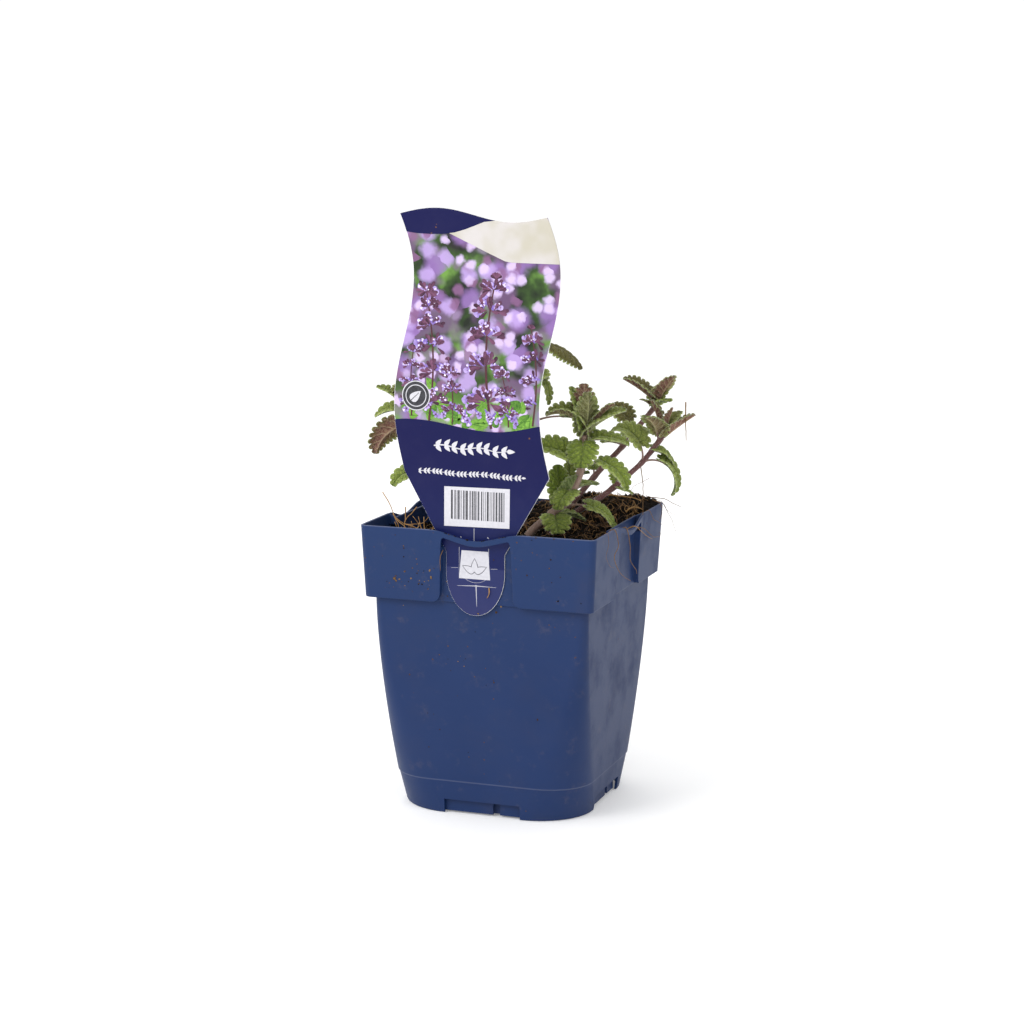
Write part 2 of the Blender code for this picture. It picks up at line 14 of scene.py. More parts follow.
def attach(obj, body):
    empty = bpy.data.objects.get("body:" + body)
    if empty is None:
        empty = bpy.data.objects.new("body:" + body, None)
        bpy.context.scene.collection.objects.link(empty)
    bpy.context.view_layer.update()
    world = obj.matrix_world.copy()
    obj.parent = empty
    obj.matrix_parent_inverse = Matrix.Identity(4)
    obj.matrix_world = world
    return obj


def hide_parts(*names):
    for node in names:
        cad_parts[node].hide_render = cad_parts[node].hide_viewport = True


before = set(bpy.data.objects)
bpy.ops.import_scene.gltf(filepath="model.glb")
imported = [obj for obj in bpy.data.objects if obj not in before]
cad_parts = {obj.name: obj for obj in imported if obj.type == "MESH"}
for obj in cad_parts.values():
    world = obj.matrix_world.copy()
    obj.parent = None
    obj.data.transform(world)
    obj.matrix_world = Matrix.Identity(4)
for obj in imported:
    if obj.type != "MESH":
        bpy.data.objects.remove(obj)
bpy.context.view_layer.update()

MM = 0.001
# Cosine and sine of each quarter turn round the pot
QUARTER_TURNS = ((1, 0), (0, 1), (-1, 0), (0, -1))

# Camera at the photograph's viewing angle
CAMERA_PLACE = (355.2, -1028.1, 317.5)
CAMERA_YAW = -19.162
CAMERA_PITCH = -9.688
CAMERA_ROLL = 0.37
VIEW_ANGLE = 24.0

# The studio's soft light is strongest from this direction
BRIGHT_SIDE = (-0.40, -0.55, 0.73)
# Lamps: name, place, the point they face, size and power
SOFTBOXES = (("key_softbox", (-700, -1100, 1000), (0, 0, 120), 700, 9.0),
             ("fill_softbox", (1200, -500, 500), (0, 0, 120), 900, 2.0),
             ("back_softbox", (-300, 900, 1100), (0, 0, 140), 700, 3.0))
FLOOR_HALF = 4000.0
FLOOR_DROP = -0.2

# Pot
RIM_Z = 131.4
RIM_HALF = 55.0
COLLAR_Z = 98.6
COLLAR_HALF = 53.4
COLLAR_RADIUS = 3.2
BODY_TOP_HALF = 49.95
BODY_LINE_Z = 15.5
BODY_LINE_HALF = 46.4
BODY_FOOT_HALF = 44.4
BODY_TOP_RADIUS = 3.5
BODY_FOOT_RADIUS = 26.0
WALL = 1.2
RECESS_PLANE = 51.0
RECESS_TOP_Z = 130.0
RECESS_CORNER = 4.0
RECESS_SIDE = 17.0
RECESS_WIDE = 21.0
RECESS_NECK = 16.3
RECESS_NECK_Z = 123.5
RECESS_WIDE_Z = 126.5
RECESS_MARGIN = 1.2
BAR_HALF = 22.0
BAR_FREE_HALF = 15.0
BAR_DIP = 3.7
BAR_DIP_HALF = 21.0
BAR_DEPTH = 2.7
BAR_BOW = 1.0
BAR_BOW_HALF = 20.0
BAR_SKIRT_Z = 123.2
FLOOR_LOW_Z = 6.8
FLOOR_TOP_Z = 8.0
CUP_RADIUS = 30.0
CUP_HIGH = 7.4
NOTCH_HALF = 18.0
NOTCH_HIGH = 6.5
NOTCH_MIDDLE = 41.5
NOTCH_DEEP = 14.0
# Slots through the wall of the sunk cup
SLOT_MIDDLE = 29.4
SLOT_DEEP = 4.0
SLOT_WIDE = 4.0
SLOT_HIGH = 3.6
# Walls set back behind each notch in the foot: the middle and width along the side, and the distance out. The
# third, narrow wall stands behind the gap to darken it, a stand-in for the shade inside the foot.
SLABS = ((-7.2, 23.8, 42.1), (12.8, 9.6, 42.1), (6.4, 5.4, 39.9))
SLAB_HIGH = 6.5
DRAIN_RADIUS = 2.8
DRAIN_CIRCLE = 36.8
DRAIN_TURN = 19.0
FILLET = 0.35
CORNER_STEPS = 10
# Rounding of the rim and foot: three insets from the face to the edge
LIP_EDGE = 0.4
LIP_ROUND = 0.45
LIP_SMALL = 0.12

# Soil
SOIL_GAP = 0.3
SOIL_Z = 120.0
HEAP_HIGH = 14.5
CROWN_HIGH = 3.0
# Clods in the soil: height, distance apart and seed
CLODS = ((0.9, 5.0, 11), (0.8, 2.2, 12), (0.45, 1.0, 13))
# How far loose soil reaches from the middle of the pot, and how far at the recesses, within their half width
CRUMB_REACH = 51
FIBRE_REACH = 50.5
BESIDE_RECESS = 49
RECESS_ZONE = 24
LOOSE_CRUMBS = 3600
RIM_CRUMBS = 26
LOOSE_FIBRES = 1900

# Label
LABEL_BACK_Y = -51.3
LABEL_FRONT_Y = -51.55
LABEL_WIDE = 67.3
LABEL_TOP_Z = 269.2
LABEL_CORNER_Z = 156.5
TONGUE_TOP_Z = 121.5
TONGUE_HALF = 13.7
TONGUE_MID_X = -1.0
TONGUE_ROUND_Z = 113.0
TONGUE_END_Z = 93.5
PRINT_EDGE = 0.15
INK_LAYER = 0.03
INK_STEP = 0.0007
LOW_EDGE_POINTS = 40
PRINTED_LEAVES = 70
LOW_BLOSSOMS = 16
# Waves of the label's sides, its top and the picture's lower edge: height, middle and length
SIDE_WAVE = (4.6, 214.5, 114.0)
TOP_WAVE = (2.8, -19.5, 69.0)
PICTURE_WAVE = (2.0, -49.0, 74.0)
LABEL_MID_X = -1.05
PICTURE_LOW_Z = 177.6
# Near the top the label leans this far, from this height on, over this length
LABEL_LEAN = (-2.2, 243.0, 26.0)

# Leafy stems. Each leaf: place along the stem, compass angle, petiole, blade length, blade width,
# rise at the stem, rise at the tip, fold of each half, roll, and how young and purple it is from 0 to 1.
STEMS = {
    "leafy_stem_front": {
        "points": ((3, -9, 112), (10, -10, 124), (19, -9.5, 132.5), (28, -11.5, 141), (34.5, -12.3, 154.5),
                   (36, -12, 171)),
        "radius": (1.9, 1.5),
        "purple": 0.15,
        "leaves": (
            (0.41, -60, 4.5, 9.5, 14, -8, -62, 10, 0, 0.0),
            (0.40, 25, 5, 11, 9, 0, -25, 25, 0, 0.0),
            (0.62, -108, 3, 11, 12.5, 5, -75, 8, 0, 0.0),
            (0.52, -30, 3, 13, 10, 60, 55, 42, 0, 0.0),
            (0.47, 25, 15, 17, 12, 22, -72, 14, -18, 0.0),
            (0.60, 60, 6, 11, 10, 35, -20, 20, 0, 0.1),
            (0.50, 130, 4, 15, 12, 60, 80, 6, 0, 0.0),
            (0.79, 195, 9, 14.5, 16, 50, -10, 25, 30, 0.1),
            (0.79, -5, 12, 16.5, 12, 38, -86, 16, -14, 0.05),
            (0.985, -80, 4.5, 12.5, 14, -34, -62, -4, 0, 0.0),
            (0.95, 20, 6, 15, 12, 20, -30, 26, -16, 0.1),
            (1.00, -38, 2.5, 17.5, 14.5, 64, 104, 12, 0, 0.35),
            (0.99, 199, 1.5, 21, 15, 82, -28, 34, 14, 0.45),
            (0.99, 5, 2, 21, 14, 50, 14, 24, -16, 0.3),
            (1.00, 165, 5, 17.5, 12.5, 72, 66, 14, 0, 0.1),
            (1.00, -60, 8, 15, 13, 86, 102, 16, 0, 1.0),
            (1.00, 5, 9, 11, 9, 58, 34, 26, 0, 0.6),
        ),
    },
    "leafy_stem_right": {
        "points": ((11, -2, 112), (18.5, -1.5, 124), (28, 1, 133), (39.5, 8.3, 141), (50.4, 14, 151),
                   (56, 17.6, 157.2), (62.2, 22.3, 166.5)),
        "radius": (1.4, 1.05),
        "purple": 0.85,
        "leaves": (
            (0.82, 172, 9, 16, 13, 104, -22, 22, 22, 0.2),
            (0.82, 15, 10, 17.5, 11.5, 28, -125, 24, -14, 0.15),
            (0.91, 32, 2, 14, 11, -5, -82, 14, -14, 0.15),
            (0.97, -110, 4, 13, 14, 82, 15, 15, 0, 0.5),
            (0.97, 15, 3, 18, 11, 42, 32, 40, 0, 0.85),
            (1.00, 190, 7, 11, 9, 85, 60, 40, 0, 0.9),
            (1.00, 0, 7, 8, 7, 70, 70, 25, 0, 0.9),
            (1.00, 60, 5, 12, 9, 60, 20, 25, 0, 0.6),
            (0.63, 150, 2, 6, 5, 60, 70, 10, 0, 0.1),
            (0.60, 0, 3, 7, 5, 10, -40, 10, 0, 0.1),
        ),
    },
    "leafy_stem_rear_right": {
        "points": ((8, 6, 112), (14, 9, 126), (23.8, 13.5, 137), (32.3, 21.8, 149), (42, 29.3, 161),
                   (49, 34, 171), (55.5, 38.2, 180)),
        "radius": (1.4, 1.05),
        "purple": 0.8,
        "leaves": (
            (1.00, 199, 2, 18, 14, 44, 26, 34, 12, 0.9),
            (1.00, -28, 2, 15, 13.5, 62, 42, 16, 0, 0.95),
            (0.97, 230, 3, 6, 5, 50, 10, 20, 0, 0.6),
            (0.97, -30, 3, 9, 9, 50, -10, 10, 0, 0.1),
            (0.84, 165, 5, 12, 12, 34, 40, 10, 28, 0.85),
            (0.97, 80, 3, 14, 11, 55, 10, 25, 0, 0.6),
            (0.72, 60, 6, 17, 13, 40, -25, 25, 0, 0.2),
            (0.72, 240, 5, 9, 8, 30, -10, 25, 0, 0.3),
            (0.50, 110, 6, 14, 12, 45, -30, 25, 0, 0.1),
        ),
    },
    "leafy_stem_tall": {
        "points": ((0, 7, 112), (3, 6, 150), (7, 5, 180), (10, 4, 209)),
        "radius": (1.6, 1.2),
        "purple": 0.4,
        "leaves": (
            (1.00, 5, 2, 21, 11, 0, -60, -28, -14, 0.9),
            (0.86, -30, 2, 14, 10, -35, -92, 10, 25, 0.2),
            (0.63, 15, 14, 9, 8, 25, -20, 20, 0, 0.2),
            (0.97, 185, 3, 18, 13, 40, -35, 20, 0, 0.4),
            (1.00, 100, 2, 15, 10, 70, 30, 30, 0, 0.6),
            (1.00, 280, 2, 13, 9, 72, 40, 30, 0, 0.6),
            (0.80, 120, 6, 20, 15, 35, -40, 22, 0, 0.1),
            (0.80, 275, 6, 19, 14, 35, -40, 22, 0, 0.1),
            (0.61, 200, 7, 20, 15, 30, -45, 20, 0, 0.0),
        ),
    },
    "leafy_stem_left": {
        "points": ((-6, -1, 112), (-16, -4, 135), (-33, -12, 160), (-46, -16, 174), (-51, -18, 184)),
        "radius": (1.4, 1.1),
        "purple": 0.6,
        "leaves": (
            (0.99, 205, 2, 10, 10, 40, 20, 20, 15, 0.3),
            (0.93, 190, 3, 11, 11, 5, -35, 18, 20, 0.1),
            (0.84, 200, 2, 22, 17, 2, -80, 14, -48, 0.75),
            (0.84, 20, 5, 17, 13, 40, -20, 25, 0, 0.3),
            (0.97, 60, 2, 12, 9, 65, 30, 30, 0, 0.6),
            (0.97, 290, 2, 12, 9, 60, 20, 30, 0, 0.6),
            (0.60, 110, 6, 18, 14, 35, -35, 22, 0, 0.1),
            (0.38, 200, 5, 14, 11, 25, -45, 22, 0, 0.0),
        ),
    },
    "leafy_stem_low_left": {
        "points": ((-11, 8, 112), (-24, 10, 126), (-38, 6, 137), (-49, -2, 148)),
        "radius": (1.3, 1.0),
        "purple": 0.3,
        "leaves": (
            (1.00, 215, 2, 11, 11, 5, -72, 12, 25, 0.0),
            (1.00, 20, 2, 12, 9, 65, 35, 30, 0, 0.3),
            (1.00, 120, 2, 12, 10, 50, 10, 25, 0, 0.2),
            (0.72, 100, 5, 15, 12, 35, -35, 22, 0, 0.0),
            (0.72, 280, 4, 13, 11, 30, -35, 22, 0, 0.0),
            (0.45, 190, 5, 12, 10, 30, -35, 22, 0, 0.0),
        ),
    },
    "leafy_stem_rear": {
        "points": ((-3, 16, 112), (-7, 24, 132), (-14, 33, 150), (-17, 38, 167)),
        "radius": (1.5, 1.1),
        "purple": 0.5,
        "leaves": (
            (1.00, 200, 2, 16, 11, 60, 15, 30, 0, 0.6),
            (1.00, 20, 2, 15, 11, 60, 25, 30, 0, 0.6),
            (0.99, 110, 2, 17, 12, 65, 35, 28, 0, 0.7),
            (0.97, 290, 2, 12, 9, 70, 50, 28, 0, 0.7),
            (0.78, 105, 6, 19, 15, 30, -45, 20, 0, 0.1),
            (0.78, 230, 6, 16, 13, 35, -25, 20, 0, 0.2),
            (0.55, 30, 5, 15, 12, 30, -40, 20, 0, 0.0),
        ),
    },
    "leafy_shoot_low_right": {
        "points": ((9, 16, 112), (13, 22, 128), (16, 29, 142)),
        "radius": (1.1, 0.9),
        "purple": 0.3,
        "leaves": (
            (1.00, 20, 2, 9, 8, 50, 0, 22, 0, 0.1),
            (1.00, 200, 2, 9, 8, 55, 10, 22, 0, 0.1),
            (1.00, 110, 2, 9, 7, 75, 55, 25, 0, 0.3),
            (0.78, 290, 3, 9, 9, 25, -30, 18, 0, 0.0),
        ),
    },
}

# Half a blade's outline without its teeth: the place along the blade, the half width, and where its vein
# leaves the midrib
BLADE_EDGE = ((0.04, 0.03, 0.008), (-0.09, 0.10, 0.016), (-0.20, 0.27, 0.03), (-0.245, 0.52, 0.05),
              (-0.17, 0.80, 0.08), (0.0, 0.97, 0.13), (0.20, 1.00, 0.23), (0.37, 0.96, 0.37),
              (0.53, 0.89, 0.52), (0.68, 0.77, 0.66), (0.82, 0.58, 0.80), (0.92, 0.36, 0.91),
              (0.985, 0.15, 0.975), (1.00, 0.02, 0.995))
# Shares of the half blade, from the midrib to the edge, where it has points
ACROSS = (0.0, 0.04, 0.10, 0.19, 0.29, 0.40, 0.51, 0.62, 0.73, 0.83, 0.91, 0.96, 1.0)
VEIN_PAIRS = 7
VEIN_SLANT = 0.24
TEETH_A_MM = 0.55
BLADE_HALF_THICK = 0.16
RIB_THICK = 0.42
SIDE_VEIN_THICK = 0.10
STALK_RADIUS = 0.52
NODE_SWELL = 0.22
# Hairs: widths, and how many there are to each millimetre of blade, stalk or stem
HAIR_WIDTH = 0.022
STEM_HAIR_WIDTH = 0.015
EDGE_HAIRS_A_MM = 14
FACE_HAIRS_A_MM = 10
STALK_HAIRS_A_MM = 18
STEM_HAIRS_A_MM = 30


# Meshes

def grid_faces(rows, columns, closed=False, first=0):
    """Quads over rows of points; closed joins each row's last point to its first."""
    r = np.arange(rows - 1)[:, None]
    c = np.arange(columns if closed else columns - 1)[None, :]
    a = first + r * columns + c
    b = first + r * columns + (c + 1) % columns
    return np.stack([a, b, b + columns, a + columns], -1).reshape(-1, 4).tolist()


class Shape:
    """Points, faces and values at the points, gathered before they become one mesh."""

    def __init__(self, *value_names):
        self.value_names = value_names
        self.points = []
        self.faces = []
        self.slots = []
        self.values = {name: [] for name in value_names}
        self.count = 0

    def add(self, points, faces, slot=0, **values):
        points = np.asarray(points, float).reshape(-1, 3)
        self.points.append(points)
        self.faces += [[i + self.count for i in face] for face in faces]
        self.slots += [slot] * len(faces)
        for name in self.value_names:
            self.values[name].append(np.broadcast_to(np.asarray(values[name], float), (len(points),)))
        self.count += len(points)

    def build(self, name, materials, record_slot, smooth=True):
        mesh = bpy.data.meshes.new(name)
        mesh.from_pydata((np.vstack(self.points) * MM).tolist(), [], self.faces)
        for material in materials:
            mesh.materials.append(material)
        mesh.polygons.foreach_set("material_index", self.slots)
        for key in self.value_names:
            attribute = mesh.attributes.new(key, "FLOAT", "POINT")
            attribute.data.foreach_set("value", np.concatenate(self.values[key]).astype(np.float32))
        if smooth:
            mesh.shade_smooth()
        obj = bpy.data.objects.new(name, mesh)
        bpy.context.scene.collection.objects.link(obj)
        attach(obj, "root")
        return obj


def closed_tube(points, radii, sides, square=0.0):
    """A tube along points in millimetres, with end caps. Its section turns square as square goes to 1."""
    path = np.asarray(points, float)
    radii = np.broadcast_to(np.asarray(radii, float), (len(path),))
    tangent = np.gradient(path, axis=0)
    tangent /= np.linalg.norm(tangent, axis=1)[:, None]
    start_way = (0.3, 1.0, 0.0) if abs(tangent[0] @ (0.287, 0.958, 0.0)) < 0.9 else (0.0, 0.0, 1.0)
    side = [np.cross(tangent[0], start_way)]
    for t in tangent[1:]:
        side.append(side[-1] - (side[-1] @ t) * t)
    side = np.array(side)
    side /= np.linalg.norm(side, axis=1)[:, None]
    other = np.cross(tangent, side)
    angle = 2 * math.pi * (np.arange(sides) + 0.5) / sides
    corner = 1 - square * 0.10 * np.cos(4 * angle)
    rings = (path[:, None] + radii[:, None, None] * corner[None, :, None]
             * (side[:, None] * np.cos(angle)[None, :, None] + other[:, None] * np.sin(angle)[None, :, None]))
    faces = grid_faces(len(path), sides, closed=True)
    faces.append(list(range(sides))[::-1])
    faces.append(list(range((len(path) - 1) * sides, len(path) * sides)))
    return rings.reshape(-1, 3), faces


def smooth_path(points, count):
    """Even points on a smooth curve through the given ones."""
    p = np.array(points, float)
    ext = np.vstack([2 * p[0] - p[1], p, 2 * p[-1] - p[-2]])
    fine = []
    for i in range(len(p) - 1):
        a, b, c, d = ext[i:i + 4]
        for t in np.linspace(0, 1, 24, endpoint=False):
            fine.append(0.5 * (2 * b + (c - a) * t + (2 * a - 5 * b + 4 * c - d) * t ** 2
                               + (3 * b - a - 3 * c + d) * t ** 3))
    fine.append(p[-1])
    fine = np.array(fine)
    along = np.r_[0, np.cumsum(np.linalg.norm(np.diff(fine, axis=0), axis=1))]
    even = np.linspace(0, along[-1], count)
    return np.stack([np.interp(even, along, fine[:, k]) for k in range(fine.shape[1])], 1)


def outward(obj):
    """Turns a mesh's faces outward."""
    bm = bmesh.new()
    bm.from_mesh(obj.data)
    bmesh.ops.recalc_face_normals(bm, faces=bm.faces)
    bm.to_mesh(obj.data)
    bm.free()


def combine(obj, others, operation):
    """Boolean of obj with other objects, applied; the others are removed."""
    group = bpy.data.collections.new("joined")
    for other in others:
        outward(other)
        group.objects.link(other)
    modifier = obj.modifiers.new(operation.title(), "BOOLEAN")
    modifier.operation = operation
    modifier.solver = "MANIFOLD"
    modifier.operand_type = "COLLECTION"
    modifier.collection = group
    bpy.context.view_layer.update()
    mesh = bpy.data.meshes.new_from_object(obj.evaluated_get(bpy.context.evaluated_depsgraph_get()))
    obj.modifiers.clear()
    obj.data = mesh
    for other in others:
        bpy.data.objects.remove(other, do_unlink=True)
    bpy.data.collections.remove(group)


# Random heights stand on a lattice with this many points a side, which starts over beyond them
LATTICE = 257
LATTICE_START = (101.3, 87.7)


def rough_noise(x, y, cell, seed):
    """Smooth random heights from -1 to 1 over x and y, with hills about one cell apart."""
    rng = np.random.default_rng(seed)
    lattice = rng.uniform(-1, 1, (LATTICE, LATTICE))
    u, v = np.asarray(x) / cell + LATTICE_START[0], np.asarray(y) / cell + LATTICE_START[1]
    i, j = np.floor(u).astype(int), np.floor(v).astype(int)
    a, b = u - i, v - j
    a, b = a * a * (3 - 2 * a), b * b * (3 - 2 * b)
    i0, j0, i1, j1 = i % LATTICE, j % LATTICE, (i + 1) % LATTICE, (j + 1) % LATTICE
    return ((lattice[i0, j0] * (1 - a) + lattice[i1, j0] * a) * (1 - b)
            + (lattice[i0, j1] * (1 - a) + lattice[i1, j1] * a) * b)


# Material nodes

def new_material(name):
    material = bpy.data.materials.new(name)
    material.use_nodes = True
    return material, material.node_tree, material.node_tree.nodes["Principled BSDF"]


def feed(tree, node, *inputs):
    """Sets or links inputs, each given as (name or number, value or another node's output)."""
    for key, value in inputs:
        socket = node.inputs[key]
        if isinstance(value, bpy.types.NodeSocket):
            tree.links.new(value, socket)
        elif socket.type == "RGBA":
            socket.default_value = (*value, 1.0)
        else:
            socket.default_value = value
    return node


def put(tree, kind, inputs=(), **settings):
    """Adds a node with its settings and its inputs."""
    node = tree.nodes.new(kind)
    for key, value in settings.items():
        setattr(node, key, value)
    return feed(tree, node, *inputs)


def calc(tree, operation, a, b=0.0, clamp=False):
    return put(tree, "ShaderNodeMath", ((0, a), (1, b)), operation=operation, use_clamp=clamp).outputs[0]


def times(tree, a, b):
    return calc(tree, "MULTIPLY", a, b)


def plus(tree, a, b, clamp=False):
    return calc(tree, "ADD", a, b, clamp)


def inverse(tree, mask):
    return calc(tree, "SUBTRACT", 1.0, mask)


def blend_colors(tree, amount, a, b):
    return put(tree, "ShaderNodeMix", ((0, amount), (6, a), (7, b)), data_type="RGBA").outputs[2]


def steps(tree, value, *stops):
    """A colour ramp with (place, colour) stops."""
    node = put(tree, "ShaderNodeValToRGB", ((0, value),))
    ramp = node.color_ramp
    while len(ramp.elements) < len(stops):
        ramp.elements.new(0.5)
    for element, (place, color) in zip(ramp.elements, stops):
        element.position = place
        element.color = (*color, 1.0)
    return node.outputs[0]


def fade(tree, value, low, high):
    """0 below low, 1 above high, smooth between."""
    return put(tree, "ShaderNodeMapRange", ((0, value), (1, low), (2, high)),
               interpolation_type="SMOOTHSTEP").outputs[0]


def vector(tree, operation, a, b):
    """A sum or product of two vectors, or for SCALE of a vector and a number."""
    second = 3 if operation == "SCALE" else 1
    return put(tree, "ShaderNodeVectorMath", ((0, a), (second, b)), operation=operation).outputs[0]


def place_in_mm(tree):
    """The surface point in millimetres in the model's frame."""
    where = put(tree, "ShaderNodeTexCoord").outputs["Object"]
    return vector(tree, "SCALE", where, 1000.0)


def noise(tree, where, scale, detail=3.0, roughness=0.5):
    return put(tree, "ShaderNodeTexNoise", (("Vector", where), ("Scale", scale), ("Detail", detail),
                                            ("Roughness", roughness))).outputs["Fac"]


def attribute(tree, name):
    return put(tree, "ShaderNodeAttribute", (), attribute_name=name).outputs["Fac"]


def bump(tree, height, strength, distance, shader):
    node = put(tree, "ShaderNodeBump",
               (("Height", height), ("Strength", strength), ("Distance", distance * MM)))
    tree.links.new(node.outputs[0], shader.inputs["Normal"])


def new_group(name, inputs, outputs):
    """A shader node group, with its inner inputs and outputs. All are numbers but Place."""
    group = bpy.data.node_groups.new(name, "ShaderNodeTree")
    for way, names in (("INPUT", inputs), ("OUTPUT", outputs)):
        for socket in names:
            kind = "NodeSocketVector" if socket == "Place" else "NodeSocketFloat"
            group.interface.new_socket(socket, in_out=way, socket_type=kind)
    return group, group.nodes.new("NodeGroupInput").outputs, group.nodes.new("NodeGroupOutput").inputs


def soil_dust_group():
    """Mask of dry soil: fine specks and a thin smeared film, shared by the pot and the label."""
    group, inside, out = new_group("soil_dust", ("Place", "Speck amount", "Film amount"), ("Specks", "Film"))
    crooked = put(group, "ShaderNodeTexNoise", (("Vector", inside["Place"]), ("Scale", 0.9))).outputs["Color"]
    moved = vector(group, "ADD", inside["Place"], crooked)
    cells = put(group, "ShaderNodeTexVoronoi", (("Vector", moved), ("Scale", 0.42)))
    few = fade(group, noise(group, inside["Place"], 0.05, 3.0), 0.52, 0.62)
    chosen = put(group, "ShaderNodeSeparateColor", ((0, cells.outputs["Color"]),)).outputs[0]
    picked = calc(group, "LESS_THAN", chosen, times(group, inside["Speck amount"], 0.45))
    spot = inverse(group, fade(group, cells.outputs["Distance"], 0.10, 0.20))
    group.links.new(times(group, times(group, spot, picked), few), out["Specks"])
    film = fade(group, noise(group, inside["Place"], 0.045, 6.0, 0.65), 0.42, 0.75)
    group.links.new(times(group, film, inside["Film amount"]), out["Film"])
    return group


SOIL_DUST = soil_dust_group()


def dust(tree, where, specks, film):
    node = put(tree, "ShaderNodeGroup", (("Place", where), ("Speck amount", specks), ("Film amount", film)),
               node_tree=SOIL_DUST)
    return node.outputs["Specks"], node.outputs["Film"]


# Pot

def body_half(z):
    """Half width of the pot's body, which narrows down to the moulding line and on to the foot."""
    if z >= BODY_LINE_Z:
        drop = (COLLAR_Z - z) / (COLLAR_Z - BODY_LINE_Z)
        return BODY_TOP_HALF - (BODY_TOP_HALF - BODY_LINE_HALF) * max(drop, 0.0) ** 1.6
    return BODY_FOOT_HALF + (BODY_LINE_HALF - 0.3 - BODY_FOOT_HALF) * z / BODY_LINE_Z


def body_radius(z):
    """Corner radius of the pot's body: tight under the collar and wide at the foot."""
    drop = max(COLLAR_Z - z, 0.0) / COLLAR_Z
    return BODY_TOP_RADIUS + (BODY_FOOT_RADIUS - BODY_TOP_RADIUS) * drop ** 1.5


def collar_half(z):
    """Half width of the rim's deep collar, which flares a little."""
    return COLLAR_HALF + (RIM_HALF - COLLAR_HALF) * (z - COLLAR_Z) / (RIM_Z - COLLAR_Z)


def recess_half(z):
    """Half width of the label recess: round lower corners, straight sides, wider where the bar joins."""
    if z < COLLAR_Z + RECESS_CORNER:
        sine = min((COLLAR_Z + RECESS_CORNER - z) / RECESS_CORNER, 1.0)
        return RECESS_SIDE + RECESS_CORNER * (1 - math.sqrt(1 - sine * sine))
    return float(np.interp(z, (COLLAR_Z + RECESS_CORNER, RECESS_NECK_Z, RECESS_WIDE_Z),
                           (RECESS_SIDE, RECESS_NECK, RECESS_WIDE)))


def side_points(half, radius, z, inset, recess, recess_z):
    """One side of a pot ring from the middle of a face to the corner, as (out, along, height)."""
    h = half - inset
    r = max(radius - inset, 0.8)
    f = FILLET
    if recess:
        x = recess + inset
        p = RECESS_PLANE - inset
        low = recess_z if recess_z is not None else z
        row = [(p, 0.0, low), (p, x - RECESS_MARGIN, low), (p, x - f, low),
               (p + 0.3 * f, x - 0.3 * f, low), (p + f, x, low), (h - f, x, z),
               (h - 0.3 * f, x + 0.3 * f, z), (h, x + f, z), (h, x + RECESS_MARGIN, z)]
    else:
        x = RECESS_WIDE
        shrink = min(1.0, (h - r - 0.6) / (x + RECESS_MARGIN))
        row = [(h, a * shrink, z) for a in (0.0, x - RECESS_MARGIN, x - f, x - 0.3 * f, x, x + 0.05,
                                            x + 0.3 * f, x + f, x + RECESS_MARGIN)]
    last = row[-1][1]
    row += [(h, last + (h - r - last) * k / 3, z) for k in (1, 2)]
    return row, h, r


def pot_ring(half, radius, z, inset, recess=0.0, recess_z=None):
    """A closed ring of points round the pot: each side is the same, with a round corner after it."""
    row, h, r = side_points(half, radius, z, inset, recess, recess_z)
    quarter = [(out, -along, zz) for out, along, zz in row[:0:-1]] + list(row)
    for k in range(CORNER_STEPS + 1):
        a = math.pi / 2 * k / CORNER_STEPS
        quarter.append((h - r + r * math.cos(a), h - r + r * math.sin(a), z))
    ring = []
    for c, s in QUARTER_TURNS:
        ring += [(x * c - y * s, x * s + y * c, zz) for x, y, zz in quarter]
    return ring


def body_ring(z, inset):
    return pot_ring(body_half(z), body_radius(z), z, inset)


def collar_ring(z, inset, recess_z=None):
    return pot_ring(collar_half(z), COLLAR_RADIUS, z, inset, recess_half(z), recess_z)


def build_pot_walls():
    """The pot's skin: rings up the outside to the rim and down the inside to the foot."""
    foot = [0.9, 2.2, 5.0, 9.0, 13.0, 15.1]
    body = list(np.linspace(15.6, COLLAR_Z - 0.6, 22))
    corner = [COLLAR_Z + 0.5 + RECESS_CORNER * (1 - math.cos(math.pi / 2 * k / 8)) for k in range(1, 9)]
    collar = corner + [108.0, 114.0, 120.0, RECESS_NECK_Z - 0.1, 124.5, 125.5, RECESS_WIDE_Z, 128.0, 129.6]
    rim = ((LIP_ROUND, 0.0), (LIP_SMALL, LIP_SMALL), (0.0, LIP_EDGE))
    outer = [body_ring(0.0, LIP_ROUND), body_ring(0.25, LIP_SMALL), *(body_ring(z, 0.0) for z in foot + body)]
    outer += [body_ring(COLLAR_Z, 0.0), collar_ring(COLLAR_Z, 0.5), collar_ring(COLLAR_Z + 0.15, LIP_SMALL),
              collar_ring(COLLAR_Z + 0.5, 0.0)]
    outer += [collar_ring(z, 0.0) for z in collar]
    outer += [collar_ring(RIM_Z - drop, inset, RECESS_TOP_Z - drop) for drop, inset in rim]
    inner = [collar_ring(RIM_Z - drop, WALL - inset, RECESS_TOP_Z - drop) for drop, inset in rim[::-1]]
    inner += [collar_ring(z, WALL) for z in collar[::-1]]
    ledge = COLLAR_Z + WALL
    inner += [collar_ring(ledge, WALL), pot_ring(body_half(COLLAR_Z), BODY_TOP_RADIUS, ledge, WALL)]
    inner += [body_ring(z, WALL) for z in sorted(body[::3] + foot[1::2], reverse=True)]
    inner.append(body_ring(0.0, WALL))
    rings = outer + inner
    walls = Shape()
    count = len(rings[0])
    points = [p for ring in rings for p in ring]
    faces = grid_faces(len(rings), count, closed=True)
    last = (len(rings) - 1) * count
    faces += [[last + k, last + (k + 1) % count, (k + 1) % count, k] for k in range(count)]
    walls.add(points, faces)
    return walls


def loose_part(shape, name):
    """A solid that is joined to the pot, or cut from it, straight away."""
    part = shape.build(name, (), "pot_blue_plastic")
    part.parent = None
    return part


